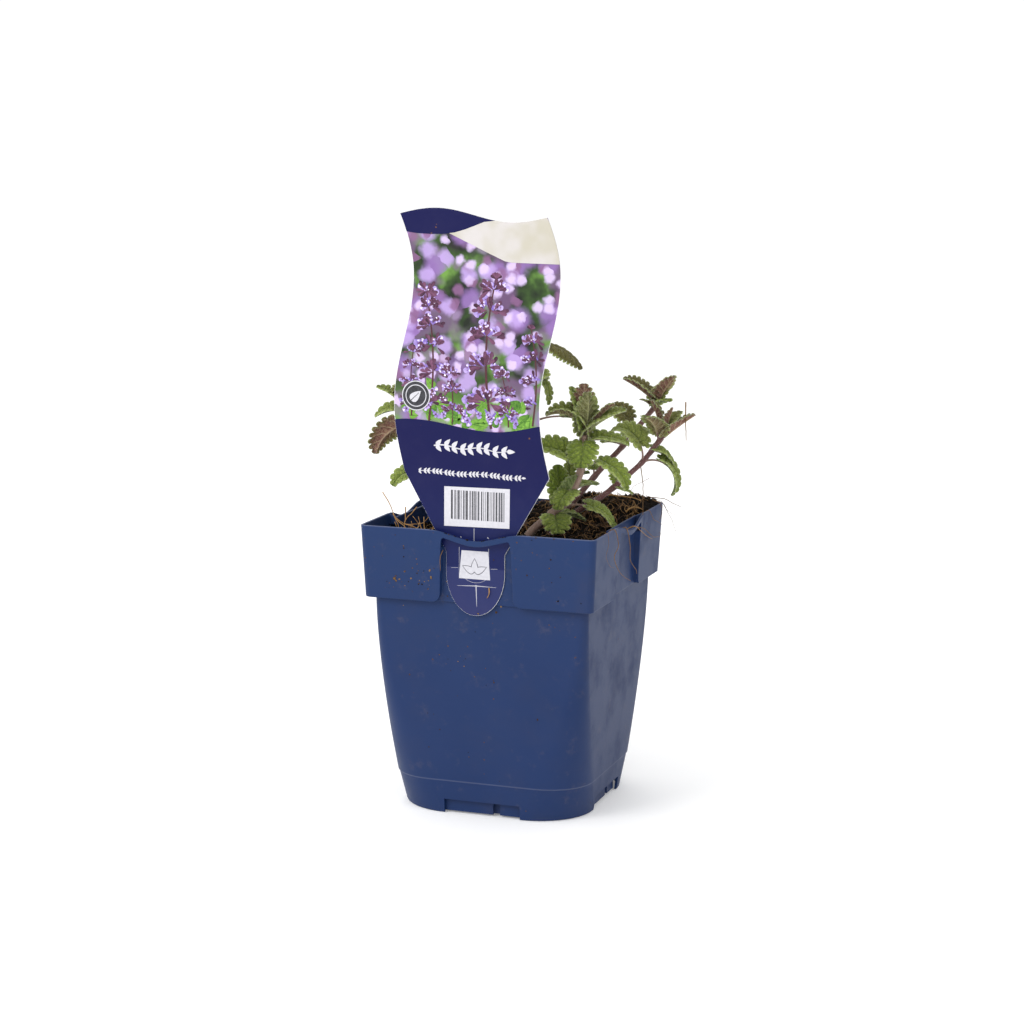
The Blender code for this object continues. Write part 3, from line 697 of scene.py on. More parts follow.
def solid_part(name, kind, place, turn=0.0, **sizes):
    """A cylinder or a box in millimetres, for joining to the pot or cutting it."""
    shape = Shape()
    if kind == "cylinder":
        n = sizes["sides"]
        angle = 2 * math.pi * np.arange(n) / n
        disc = np.stack([sizes["radius"] * np.cos(angle), sizes["radius"] * np.sin(angle)], 1)
        half = sizes["depth"] / 2
        points = [(x, y, z) for z in (-half, half) for x, y in disc]
        faces = grid_faces(2, n, closed=True) + [list(range(n))[::-1], list(range(n, 2 * n))]
    else:
        a, b, c = (v / 2 for v in sizes["box"])
        points = [(x, y, z) for z in (-c, c) for x, y in ((-a, -b), (a, -b), (a, b), (-a, b))]
        faces = grid_faces(2, 4, closed=True) + [[3, 2, 1, 0], [4, 5, 6, 7]]
    shape.add(points, faces)
    part = loose_part(shape, name)
    part.matrix_world = Matrix.Translation([v * MM for v in place]) @ Matrix.Rotation(turn, 4, "Z")
    return part


def bar_dip(x):
    """How far the bridge's top lies below the rim."""
    return BAR_DIP * (0.5 + 0.5 * math.cos(math.pi * min(abs(x) / BAR_DIP_HALF, 1.0)))


def build_bar(turn):
    """The rim's bridge over a recess: a strip that dips and bows out in the middle."""
    ends = [BAR_FREE_HALF, 15.6, 16.0, 16.4, 17.0, 18.5, 20.0, BAR_HALF]
    across = [-x for x in ends[::-1]] + list(np.linspace(-14.2, 14.2, 31)) + ends
    c, s = QUARTER_TURNS[turn]
    rings = []
    for x in across:
        dip = bar_dip(x)
        skirt = min(max((abs(x) - BAR_FREE_HALF) / 1.4, 0.0), 1.0)
        top = RIM_Z - dip - 0.03
        low = RIM_Z - BAR_DEPTH - dip
        low += (BAR_SKIRT_Z - low) * (1 - math.sqrt(1 - skirt * skirt))
        bow = BAR_BOW * max(0.0, 1 - (x / BAR_BOW_HALF) ** 2)
        ring = []
        for depth, z in ((LIP_EDGE, low), (LIP_SMALL, low + 0.3), (0.06, top - LIP_ROUND),
                         (LIP_EDGE, top - 0.08), (WALL - LIP_EDGE, top - 0.08), (WALL - 0.1, top - LIP_ROUND),
                         (WALL - 0.1, low + 0.3), (WALL - LIP_EDGE, low)):
            out = collar_half(z) - depth + bow
            ring.append((x * c + out * s, x * s - out * c, z))
        rings.append(ring)
    shape = Shape()
    faces = grid_faces(len(rings), 8, closed=True)
    faces += [list(range(8))[::-1], list(range((len(rings) - 1) * 8, len(rings) * 8))]
    shape.add([p for r in rings for p in r], faces)
    return loose_part(shape, "bar")


def round_the_middle(radius, angle, z):
    return radius * math.cos(angle), radius * math.sin(angle), z


def build_pot():
    """Walls, floor, sunk cup and bridges, less the notches, slots and drain holes."""
    pot = build_pot_walls().build("pot_fine", (), "pot_blue_plastic")
    outward(pot)
    floor_shape = Shape()
    floor_rings = [body_ring(z, WALL * 0.5) for z in (FLOOR_LOW_Z, FLOOR_TOP_Z)]
    n = len(floor_rings[0])
    floor_shape.add([p for r in floor_rings for p in r],
                    grid_faces(2, n, closed=True) + [list(range(n))[::-1], list(range(n, 2 * n))])
    floor = loose_part(floor_shape, "pot_floor")
    cup = solid_part("cup", "cylinder", (0, 0, CUP_HIGH / 2), radius=CUP_RADIUS, depth=CUP_HIGH, sides=72)
    added = [floor, cup, *(build_bar(turn) for turn in range(4))]
    combine(pot, added, "UNION")
    cuts = [solid_part("cup_inside", "cylinder", (0, 0, WALL + 5), radius=CUP_RADIUS - WALL, depth=10.0,
                       sides=72)]
    for turn in range(4):
        a = math.pi / 2 * turn
        cuts.append(solid_part("notch", "box", round_the_middle(NOTCH_MIDDLE, a, 0), turn=a,
                               box=(NOTCH_DEEP, 2 * NOTCH_HALF, 2 * NOTCH_HIGH)))
        b = a + math.pi / 4
        cuts.append(solid_part("slot", "box", round_the_middle(SLOT_MIDDLE, b, WALL + 2.3), turn=b,
                               box=(SLOT_DEEP, SLOT_WIDE, SLOT_HIGH)))
        for side in (-1, 1):
            c = a + side * math.radians(DRAIN_TURN)
            cuts.append(solid_part("drain", "cylinder", round_the_middle(DRAIN_CIRCLE, c, FLOOR_TOP_Z),
                                   radius=DRAIN_RADIUS, depth=4.0, sides=28))
    combine(pot, cuts, "DIFFERENCE")
    slabs = []
    for turn in range(4):
        c, w = QUARTER_TURNS[turn]
        for middle, wide, out in SLABS:
            place = (out * c - middle * w, out * w + middle * c, SLAB_HIGH / 2 + 0.7)
            slabs.append(solid_part("slab", "box", place, turn=math.pi / 2 * turn,
                                    box=(WALL, wide, SLAB_HIGH)))
    combine(pot, slabs, "UNION")
    pot.data.materials.clear()
    pot.data.materials.append(pot_plastic())
    pot.data.shade_smooth()
    pot.data.set_sharp_from_angle(angle=math.radians(32))
    pot.modifiers.new("Even shading", "WEIGHTED_NORMAL").keep_sharp = True
    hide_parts("pot")


def pot_plastic():
    material, tree, shader = new_material("pot_blue_plastic")
    where = place_in_mm(tree)
    axes = put(tree, "ShaderNodeSeparateXYZ", ((0, where),)).outputs
    height = axes[2]
    # Film thickens towards the foot; on the right side (x from 44 mm) it is painted shade that greys that
    # face.
    foot_film_and_right_shade = calc(tree, "MAXIMUM", fade(tree, height, 14.0, -2.0), fade(tree, axes[0], 44.0, 50.0))
    collar = fade(tree, height, 96.0, 104.0)
    specks, film = dust(tree, where, plus(tree, times(tree, collar, 0.5), 0.25),
                        plus(tree, times(tree, foot_film_and_right_shade, 0.5), 0.35))
    blue = blend_colors(tree, noise(tree, where, 0.03, 4.0), (0.006, 0.022, 0.086), (0.011, 0.030, 0.106))
    # Painted light: the blue turns lighter and more even towards the rim.
    blue = blend_colors(tree, fade(tree, height, 60.0, 128.0), blue, (0.010, 0.030, 0.104))
    # Painted highlight: a pale line along the moulding ridge and along the rim's top edge.
    line = inverse(tree, fade(tree, calc(tree, "ABSOLUTE", calc(tree, "SUBTRACT", height, BODY_LINE_Z)),
                                            0.15, 0.55))
    painted_highlight = calc(tree, "MAXIMUM", times(tree, line, 0.30),
                times(tree, fade(tree, height, RIM_Z - 0.55, RIM_Z - 0.1), 0.45))
    blue = blend_colors(tree, painted_highlight, blue, (0.13, 0.15, 0.24))
    # On the right side this grey film is painted shade.
    dusty = blend_colors(tree, times(tree, film, 0.30), blue, (0.050, 0.050, 0.072))
    smudge = fade(tree, noise(tree, where, 0.11, 5.0, 0.7), 0.56, 0.74)
    dusty = blend_colors(tree, times(tree, smudge, 0.22), dusty, (0.10, 0.085, 0.095))
    color = blend_colors(tree, specks, dusty, (0.085, 0.042, 0.016))
    rough = plus(tree, times(tree, film, 0.25), 0.46)
    rough = plus(tree, rough, times(tree, specks, 0.3))
    feed(tree, shader, ("Base Color", color), ("Roughness", rough), ("Specular IOR Level", 0.2))
    grain = plus(tree, times(tree, noise(tree, where, 2.2, 4.0), 0.5),
                 times(tree, noise(tree, where, 0.09, 2.0), 2.5))
    bump(tree, plus(tree, grain, times(tree, specks, 2.5)), 0.35, 0.12, shader)
    return material


# Soil

def soil_height(x, y):
    """The soil without its clods: a heap at the back right, a low crown round the stems, and lumps."""
    rise = np.clip((y - 5) / 40, 0.0, 1.0) * np.clip((x + 35) / 60, 0.0, 1.0)
    heap = rise * rise * (3 - 2 * rise)
    crown = CROWN_HIGH * np.exp(-((x - 8) ** 2 + (y - 4) ** 2) / 650)
    lumps = 0.9 * np.sin(x / 5.1 + 1.0) * np.sin(y / 4.3) + 0.5 * np.sin(x / 2.3 + y / 3.1)
    return SOIL_Z + HEAP_HIGH * heap + crown + lumps


def soil_top(x, y):
    """The soil's height with its clods and crumbs."""
    clods = sum(high * rough_noise(x, y, apart, seed) for high, apart, seed in CLODS)
    edge = np.maximum(np.abs(x), np.abs(y))
    slump = 3.2 * np.clip((edge - 46.0) / 6.5, 0, 1) ** 2 * np.clip((soil_height(x, y) - 124.0) / 6.0, 0, 1)
    return soil_height(x, y) + clods - slump


def build_soil():
    """One closed body of soil: rings in from the pot's wall over its rough top, and a plain body below."""
    inset = WALL + SOIL_GAP
    edge = np.array(pot_ring(collar_half(118.0), COLLAR_RADIUS, 118.0, inset, RECESS_WIDE))[:, :2]
    fine_edge = []
    for a, b in zip(edge, np.roll(edge, -1, axis=0)):
        parts = max(1, int(np.linalg.norm(b - a) / 1.4))
        fine_edge += [a + (b - a) * k / parts for k in range(parts)]
    edge = np.array(fine_edge)
    count = len(edge)
    soil = Shape()
    rings = []
    for k in np.linspace(1.0, 0.012, 74) ** 0.9:
        x, y = edge[:, 0] * k, edge[:, 1] * k
        z = soil_top(x, y) - (0.6 if k > 0.99 else 0.0)
        rings.append(np.stack([x, y, z], 1))
    below = [np.stack([edge[:, 0] * k, edge[:, 1] * k, np.full(count, z)], 1)
             for z, k in ((9.0, 0.72), (100.5, 0.88), (101.0, 1.0), (112.0, 1.0))]
    rings = below + rings
    faces = grid_faces(len(rings), count, closed=True)
    faces += [list(range(count))[::-1], list(range((len(rings) - 1) * count, len(rings) * count))]
    soil.add(np.vstack(rings), faces)
    piece = soil.build("potting_soil_fine", (soil_material(),), "potting_soil")
    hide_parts("potting_soil")


def soil_material():
    material, tree, shader = new_material("potting_soil")
    where = place_in_mm(tree)
    crumbs = noise(tree, where, 0.8, 8.0, 0.7)
    color = steps(tree, crumbs, (0.30, (0.002, 0.0012, 0.001)), (0.56, (0.007, 0.004, 0.0022)),
                  (0.70, (0.025, 0.013, 0.006)), (0.90, (0.11, 0.06, 0.028)))
    feed(tree, shader, ("Base Color", color), ("Roughness", 0.95), ("Specular IOR Level", 0.15))
    bump(tree, crumbs, 1.0, 0.9, shader)
    return material


# Crumbs on the left collar panel and on the tongue as x, z and size, and scattered ones as x, z, spread
# and count
PANEL_DIRT = ((-38.3, 108.1, 1.1), (-37.7, 107.1, 0.7), (-33.4, 111.6, 0.6), (-21.5, 112.9, 0.5),
              (-21.0, 109.7, 0.6), (-26.7, 106.6, 0.4), (-33.5, 105.2, 0.3), (-22.5, 104.4, 0.4),
              (-27.0, 112.4, 0.35), (-19.5, 114.0, 0.3))
FRONT_DIRT = ((-28, 108, 6, 26), (-33, 120, 9, 10), (30, 112, 12, 12), (30, 129, 14, 12), (-5, 70, 10, 14),
              (5, 45, 22, 10), (0, 12, 30, 12))
TONGUE_DIRT = ((-13.9, 101.5, 0.45), (11.2, 98.6, 0.5), (9.0, 95.8, 0.6), (0.5, 94.6, 0.4),
               (-14.4, 108.0, 0.3), (7.6, 119.2, 0.3))


def lump_form():
    """A twelve-cornered lump with its triangles facing out."""
    golden = (1 + math.sqrt(5)) / 2
    corners = [(-1, golden, 0), (1, golden, 0), (-1, -golden, 0), (1, -golden, 0),
               (0, -1, golden), (0, 1, golden), (0, -1, -golden), (0, 1, -golden),
               (golden, 0, -1), (golden, 0, 1), (-golden, 0, -1), (-golden, 0, 1)]
    lump = np.array(corners) / math.sqrt(1 + golden * golden)
    faces = []
    for i in range(12):
        for j in range(i + 1, 12):
            for k in range(j + 1, 12):
                sides = [np.linalg.norm(lump[a] - lump[b]) for a, b in ((i, j), (j, k), (i, k))]
                if max(sides) < 1.2:
                    turned = np.dot(np.cross(lump[j] - lump[i], lump[k] - lump[i]), lump[i]) < 0
                    faces.append([i, k, j] if turned else [i, j, k])
    return lump, faces


def add_lump(crumbs, rng, form, place, size, flat=1.0, pale=0.0):
    """A random lump. flat squeezes it against the pot's front, and pale turns it to light brown."""
    lump, faces = form
    stretch = rng.uniform(0.7, 1.35, 3)
    turn = np.linalg.qr(rng.normal(size=(3, 3)))[0]
    if np.linalg.det(turn) < 0:
        turn[0] *= -1
    points = (lump * rng.uniform(0.72, 1.2, (12, 1)) * stretch) @ turn * size
    crumbs.add(points * (1, flat, 1) + place, faces, shade=rng.random() * (1 - pale) + 1.15 * pale)


def build_crumbs():
    """Loose lumps on the soil, and crumbs that stick to the pot's front, its rim and the label."""
    rng = np.random.default_rng(31)
    form = lump_form()
    crumbs = Shape("shade")
    for _ in range(LOOSE_CRUMBS):
        x, y = rng.uniform(-CRUMB_REACH, CRUMB_REACH, 2)
        if max(abs(x), abs(y)) > BESIDE_RECESS and min(abs(x), abs(y)) < RECESS_ZONE:
            continue
        size = 0.28 + 1.15 * rng.random() ** 4
        add_lump(crumbs, rng, form, (x, y, soil_top(x, y) + size * 0.3), size)
    for x, z, size in PANEL_DIRT:
        add_lump(crumbs, rng, form, (x, -collar_half(z) - 0.05, z), size, 0.35, 0.8)
    for x, z, spread, count in FRONT_DIRT:
        for _ in range(count):
            at_x, at_z = x + spread * rng.normal(), z + 0.6 * spread * rng.normal()
            at_z = min(max(at_z, 3.0), RIM_Z - 0.5)
            on_collar = at_z > COLLAR_Z
            flat_half = RIM_HALF - 6.0 if on_collar else body_half(at_z) - body_radius(at_z) - 1.0
            over_recess = abs(at_x) < RECESS_WIDE and at_z > COLLAR_Z - 1
            if over_recess or abs(at_x) > flat_half or at_z < NOTCH_HIGH + 1:
                continue
            y = -collar_half(at_z) if on_collar else -body_half(at_z)
            add_lump(crumbs, rng, form, (at_x, y - 0.03, at_z), rng.uniform(0.12, 0.42), 0.4,
                     rng.uniform(0.3, 0.9))
    for _ in range(RIM_CRUMBS):
        x = rng.uniform(-14, 16)
        place = (x, rng.uniform(-55.6, -54.6), RIM_Z - bar_dip(x) - 0.05)
        add_lump(crumbs, rng, form, place, rng.uniform(0.15, 0.45), 1.0)
    for x, z, size in TONGUE_DIRT:
        add_lump(crumbs, rng, form, (x, -52.0, z), size, 0.4, 0.7)
    crumbs.build("soil_crumbs", (crumb_material(),), "potting_soil", smooth=False)


def crumb_material():
    material, tree, shader = new_material("soil_crumbs")
    where = place_in_mm(tree)
    shade = plus(tree, times(tree, attribute(tree, "shade"), 0.8),
                 times(tree, noise(tree, where, 1.5, 4.0), 0.3))
    color = steps(tree, shade, (0.1, (0.003, 0.002, 0.0015)), (0.7, (0.010, 0.006, 0.0035)),
                  (0.93, (0.060, 0.032, 0.014)), (1.0, (0.20, 0.12, 0.055)))
    feed(tree, shader, ("Base Color", color), ("Roughness", 0.92), ("Specular IOR Level", 0.15))
    bump(tree, noise(tree, where, 3.0, 5.0), 0.8, 0.3, shader)
    return material


# A golden tuft of fibres at the front left
TUFT_MIDDLE = (-39.0, -30.0)
TUFT_STRANDS = 120


def build_fibres():
    """Fine roots and coir strands in the soil, more of them on the heap at the back right."""
    rng = np.random.default_rng(47)
    fibres = Shape("shade")
    for _ in range(LOOSE_FIBRES):
        x, y = rng.uniform(-BESIDE_RECESS, BESIDE_RECESS, 2)
        if rng.random() > 0.16 + 0.84 * (np.clip((x + 10) / 50, 0, 1) * np.clip((y + 35) / 60, 0, 1)):
            continue
        heading = rng.uniform(0, 2 * math.pi)
        turn = rng.normal(0, 0.35)
        rise = abs(rng.normal(0, 0.9))
        step = rng.uniform(0.6, 1.5)
        path = []
        for k in range(9):
            path.append((x, y, soil_top(x, y) + 0.35 + rise * math.sin(math.pi * k / 8)))
            heading += turn + rng.normal(0, 0.25)
            x = float(np.clip(x + step * math.cos(heading), -FIBRE_REACH, FIBRE_REACH))
            y = float(np.clip(y + step * math.sin(heading), -FIBRE_REACH, FIBRE_REACH))
            if min(abs(x), abs(y)) < RECESS_ZONE:
                x, y = (float(np.clip(v, -48.6, 48.6)) for v in (x, y))
        if len({(round(a, 2), round(b, 2)) for a, b, _ in path}) < 9:
            continue
        radius = rng.uniform(0.07, 0.15)
        fibres.add(*closed_tube(path, radius, 4), shade=rng.random())
    for _ in range(TUFT_STRANDS):
        start = np.array([*(TUFT_MIDDLE + rng.normal(0, 5.5, 2)), 0.0])
        start[:2] = np.clip(start[:2], -BESIDE_RECESS, BESIDE_RECESS)
        start[2] = soil_top(start[0], start[1]) - 0.5
        way = rng.normal(0, 1.0, 3) * (1.2, 1.2, 0.4) + (0, 0, 0.95)
        bend = rng.normal(0, 1.4, 3)
        reach = rng.uniform(5.0, 11.0)
        share = np.linspace(0, 1, 9)[:, None]
        path = start + way / np.linalg.norm(way) * reach * share + bend * share ** 2
        path[:, :2] = np.clip(path[:, :2], -FIBRE_REACH, FIBRE_REACH)
        fibres.add(*closed_tube(path, rng.uniform(0.08, 0.2), 4), shade=rng.uniform(0.75, 1.15))
    fibres.build("soil_fibres", (root_material(),), "potting_soil")


# Roots and straws that stand clear of the soil: points, thickness, and shade from dark brown to golden
LOOSE_STRANDS = (
    (((-51.3, -36, 143.5), (-48.7, -36, 139.6), (-46.4, -36, 135.1), (-45.8, -36, 133.1), (-43.4, -37, 130.9),
      (-39.7, -38, 128.6), (-36, -38, 124), (-35, -38, 120)), 0.24, 0.90),
    (((-46.3, -36, 133.8), (-43.8, -36, 131.2), (-40.9, -35, 129.2), (-35.1, -36, 127.9), (-31, -36, 124),
      (-29, -36, 120)), 0.21, 0.88),
    (((-46.3, -36, 134.7), (-44.4, -37, 131.3), (-42.6, -38, 128.4), (-41.5, -38, 120)), 0.19, 0.85),
    (((-45.1, -34, 131.2), (-41.7, -33, 129), (-37.3, -33, 129.1), (-33.4, -32, 129.8), (-31.4, -32, 131.8),
      (-30.5, -31, 133)), 0.20, 0.90),
    (((-45.8, -22, 134.8), (-45.3, -23, 132.2), (-44.8, -24, 129.7), (-44.8, -25, 127.5),
      (-44.5, -25, 120)), 0.28, 0.80),
    (((-40.2, -22, 135.2), (-42.2, -23, 132.4), (-44.8, -24, 129.2), (-46, -25, 120.5)), 0.22, 0.85),
    (((50, -26, 127.5), (54.9, -27.1, 132.0), (56.2, -24, 124.5), (56, -29.5, 120), (56.2, -20, 111.5),
      (56.2, -4, 104.5)), 0.20, 0.55),
    (((50, -37, 126), (54.9, -37.8, 132.0), (55.8, -37.5, 126.7), (55.8, -41.8, 122.1), (55.9, -36, 117),
      (55.9, -29.4, 115)), 0.10, 0.55),
    (((50, -9, 124), (55, -10.1, 130.0), (56.5, -6.5, 121.3), (56.2, -4.6, 114.1), (56, 5.4, 107.7),
      (55.8, 7.1, 105.6)), 0.24, 0.55),
    (((50, 0, 125), (55, 2.9, 128.4), (57, 7.6, 125.8), (56.6, 19.3, 121.5), (56, 31.2, 117.7)), 0.22, 0.68),
    (((52, 24, 129), (55.1, 27.2, 131.8), (55.9, 33, 126.5), (55.9, 39.3, 124.3),
      (55.9, 51.6, 120.4)), 0.14, 0.45),
    (((52, 6, 127), (56.4, 12.5, 126), (56.8, 24.3, 121.2), (56.3, 32.9, 118.3), (55.9, 44.9, 116.8),
      (55.9, 45.3, 118.6), (55.8, 43.1, 118.4)), 0.20, 0.35),
    (((52, 44, 134), (55.1, 45.8, 132.0), (55.9, 46.8, 127.4), (55.7, 44.4, 124.5)), 0.26, 0.40),
    (((50, 47, 134.6), (57.2, 46, 134.2), (61.7, 44, 132.9), (66.6, 42, 131.7)), 0.22, 0.45),
    (((52, 49, 133.5), (55.6, 48.6, 132.2), (57.7, 48, 129.2), (60, 47, 127.6), (62.2, 46, 127),
      (64.4, 45, 127.7)), 0.12, 0.40),
    (((52, 48, 133), (56.5, 47.5, 131.8), (59, 47, 128), (61.3, 46, 125), (63.6, 45, 119.6),
      (64.5, 45, 120.2)), 0.14, 0.30),
    (((54.2, 16.2, 154.0), (54.9, 17, 148), (55.5, 17.4, 143), (55.3, 17.4, 131)), 0.24, 0.50),
    (((58.5, 16, 148.6), (55.3, 17.2, 146.5), (49.5, 18, 142), (47, 20, 132)), 0.12, 0.35),
    (((29, 33, 133), (32, 33, 136.4), (39, 34, 136.3), (46, 35, 135.6), (49, 36, 134.4)), 0.45, 0.85),
    (((44, 28, 130), (46, 29, 132.2), (49, 30, 132.4), (51, 32, 131)), 0.42, 0.80),
    (((72.9, 23.6, 183.2), (73.0, 23.6, 174.8), (73.4, 23.6, 165.6)), 0.32, 0.58),
    (((-15.7, -53, 122.3), (-16.6, -54.9, 118.5), (-16.2, -54.9, 113.4)), 0.20, 0.45),
    (((5.6, -52.2, 106.6), (5.7, -52.3, 104.6), (4.7, -52.2, 102.0)), 0.32, 0.70),
)


def build_strands():
    """The roots and straws in the list, each a little crooked and thinner towards its end."""
    rng = np.random.default_rng(61)
    strands = Shape("shade")
    for points, radius, shade in LOOSE_STRANDS:
        path = smooth_path(points, 30)
        crooked = np.cumsum(rng.normal(0, 0.05, (30, 3)), axis=0)
        crooked *= np.sin(np.linspace(0, math.pi, 30))[:, None]
        strands.add(*closed_tube(path + crooked, radius * np.linspace(1.0, 0.45, 30), 6), shade=shade)
    strands.build("dry_strands", (root_material(),), "potting_soil")


def root_material():
    material, tree, shader = new_material("dry_roots")
    where = place_in_mm(tree)
    shade = plus(tree, times(tree, attribute(tree, "shade"), 0.75),
                 times(tree, noise(tree, where, 0.4, 3.0), 0.25))
    color = steps(tree, shade, (0.1, (0.035, 0.014, 0.006)), (0.5, (0.17, 0.085, 0.028)),
                  (0.8, (0.42, 0.23, 0.075)), (1.0, (0.58, 0.40, 0.20)))
    feed(tree, shader, ("Base Color", color), ("Roughness", 0.7))
    return material


# Leaves and stems

def leaf_axes(azimuth, rise, roll):
    """Along, side and upper-face directions at each rise along a midrib."""
    a, w = math.radians(azimuth), math.radians(roll)
    e = np.radians(np.asarray(rise, float))
    along = np.stack([np.cos(e) * math.cos(a), np.cos(e) * math.sin(a), np.sin(e)], -1)
    up = np.stack([-np.sin(e) * math.cos(a), -np.sin(e) * math.sin(a), np.cos(e)], -1)
    side = np.cross(along, up)
    return along, side * math.cos(w) + up * math.sin(w), up * math.cos(w) - side * math.sin(w)


class Midrib:
    """A leaf's centre line from the stem to the tip, which bends evenly from one rise to the other."""

    def __init__(self, start, azimuth, length, rise0, rise1, roll):
        self.azimuth, self.roll, self.length = azimuth, roll, length
        self.rise0, self.rise1 = rise0, rise1
        count = 240
        self.at = np.linspace(0, length, count)
        middles = (self.at[1:] + self.at[:-1]) / 2
        along, _, _ = leaf_axes(azimuth, self.rise(middles), 0)
        self.line = np.vstack([start, start + np.cumsum(along * (length / (count - 1)), axis=0)])

    def rise(self, distance):
        return self.rise0 + (self.rise1 - self.rise0) * np.asarray(distance) / self.length

    def place(self, distance):
        point = np.stack([np.interp(distance, self.at, self.line[:, k]) for k in range(3)], -1)
        return (point, *leaf_axes(self.azimuth, self.rise(distance), self.roll))


def blade_margin(blade, width, young, teeth, rng):
    """Half the outline in millimetres with round teeth, and where each point's vein leaves the midrib.

    Grown leaves have a deep heart-shaped base and young ones a wedge-shaped base.
    """
    lobe = 1 - 0.9 * young
    wedge = 0.45 * young
    curve = smooth_path([(max(u, u * lobe) * blade, w * (1 - wedge * max(1 - u / 0.34, 0.0)) * width / 2,
                          m * blade) for u, w, m in BLADE_EDGE], 400)
    even = np.linspace(0, 1, 400)
    t = np.linspace(0, 1, teeth * 6 + 1)
    x, y, m = (np.interp(t, even, curve[:, k]) for k in range(3))
    dx, dy = np.gradient(x), np.gradient(y)
    norm = np.hypot(dx, dy) + 1e-9
    phase = ((t * teeth) % 1.0) ** 0.8
    scallop = np.sqrt(np.clip(1 - (2 * phase - 1) ** 2, 0, 1))
    size = 1 + 0.3 * rng.uniform(-1, 1, teeth + 1)[np.minimum((t * teeth).astype(int), teeth)]
    depth = (0.70 + 0.055 * width) * np.clip(t / 0.10, 0, 1) * np.clip((1.02 - t) / 0.12, 0.35, 1) * size
    shift = (scallop - 0.60) * depth
    x, y = x - dy / norm * shift, y + dx / norm * shift
    return t, x, np.maximum(y, 0.12), m


def add_leaf(plant, hairs, start, azimuth, petiole, blade, width, rise0, rise1, fold, roll, young, seed):
    """A leaf with its stalk and hairs. Each half has points from the midrib to the toothed edge."""
    rng = np.random.default_rng(seed)
    rib = Midrib(np.asarray(start, float), azimuth, petiole + blade, rise0, rise1, roll)
    f = math.radians(fold)
    teeth = int(np.clip(round(blade * TEETH_A_MM), 6, 12))
    t, edge_x, edge_y, vein_x = blade_margin(blade, width, young, teeth, rng)
    middle, _, _, up_m = rib.place(petiole + vein_x)
    edge, along, side, up = rib.place(petiole + np.maximum(edge_x, 0.0))
    edge = edge + along * np.minimum(edge_x, 0.0)[:, None]
    wave = 0.45 * np.sin(t * rng.uniform(6, 11) + rng.uniform(0, 6)) + 0.25 * rng.normal()
    v = np.array(ACROSS)
    halves = {}
    for sign in (-1, 1):
        out = side * sign * math.cos(f) + up * math.sin(f)
        face = up * math.cos(f) - side * sign * math.sin(f)
        rim = edge + out * edge_y[:, None] + face * (wave * np.clip(edge_y / (width / 2), 0, 1))[:, None]
        flat = middle[:, None] * (1 - v)[None, :, None] + rim[:, None] * v[None, :, None]
        normal = up_m[:, None] * (1 - v)[None, :, None] + face[:, None] * v[None, :, None]
        normal /= np.linalg.norm(normal, axis=2)[:, :, None]
        bow = 0.13 * edge_y[:, None] * (4 * v * (1 - v))[None, :] - 0.07 * edge_y[:, None] * (v ** 4)[None, :]
        vein_phase = (t[:, None] - VEIN_SLANT * v[None, :]) * VEIN_PAIRS
        between = np.abs(np.sin(math.pi * vein_phase)) ** 0.7
        quilt = 0.045 * width * between * (np.clip(v / 0.15, 0, 1) * (1 - 0.6 * v ** 3))[None, :]
        pucker = 0.14 * rough_noise(t[:, None] * blade + 40 * seed,
                                    v[None, :] * edge_y[:, None] + 20 * sign, 1.1, 3)
        raised = bow + quilt + pucker * np.clip(v / 0.1, 0, 1)[None, :]
        halves[sign] = (flat + normal * raised[:, :, None], normal)
    columns = 2 * len(v) - 1
    grid = np.concatenate([halves[-1][0][:, ::-1], halves[1][0][:, 1:]], axis=1)
    normals = np.concatenate([halves[-1][1][:, ::-1], halves[1][1][:, 1:]], axis=1)
    across = np.r_[-v[::-1], v[1:]]
    half_thick = BLADE_HALF_THICK * (1 - 0.5 * np.abs(across))
    off_rib = np.abs(across)[None, :] * edge_y[:, None]
    rib_thick = RIB_THICK * np.exp(-(off_rib / 0.45) ** 2) * (1.05 - t[:, None])
    vein_phase = (t[:, None] - VEIN_SLANT * np.abs(across)[None, :]) * VEIN_PAIRS
    side_veins = SIDE_VEIN_THICK * np.clip(1 - np.abs(np.sin(math.pi * vein_phase)) * 3.0, 0, 1)
    side_veins = side_veins * (1 - across[None, :] ** 2)
    upper = grid + normals * half_thick[None, :, None]
    lower = grid - normals * (half_thick[None, :] + rib_thick + side_veins)[:, :, None]
    rows = len(t)
    size = rows * columns
    faces = grid_faces(rows, columns)
    faces += [[i + size for i in face[::-1]] for face in faces]
    loop = [r * columns for r in range(rows)] + [(rows - 1) * columns + c for c in range(1, columns)]
    loop += [r * columns + columns - 1 for r in range(rows - 2, -1, -1)] + list(range(columns - 2, 0, -1))
    faces += [[a, b, b + size, a + size] for a, b in zip(loop, loop[1:] + loop[:1])]
    t_all = np.tile(np.repeat(t, columns), 2)
    v_all = np.tile(np.tile(across, rows), 2)
    under = np.repeat([0.0, 1.0], size)
    plant.add(np.vstack([upper.reshape(-1, 3), lower.reshape(-1, 3)]), faces, slot=0, blade_t=t_all,
              blade_v=v_all, under=under, young=young, leaf_size=blade, leaf_seed=rng.random())
    stalk_at = np.linspace(-0.6, petiole + 0.08 * blade, 12)
    stalk = rib.place(np.maximum(stalk_at, 0.0))[0]
    stalk += leaf_axes(azimuth, rise0, 0)[0] * np.minimum(stalk_at, 0.0)[:, None]
    radii = STALK_RADIUS - 0.14 * np.linspace(0, 1, 12) + 0.25 * np.exp(-np.linspace(0, 1, 12) * 9)
    points, tube_faces = closed_tube(stalk, radii, 8)
    plant.add(points, tube_faces, slot=1, blade_t=0.0, blade_v=0.0, under=0.0,
              young=0.30 + 0.6 * young, leaf_size=blade, leaf_seed=rng.random())
    add_leaf_hairs(hairs, rng, halves, t, v, blade)
    add_fuzz(hairs, rng, stalk, radii, int(petiole * STALK_HAIRS_A_MM + 20), 0.6)


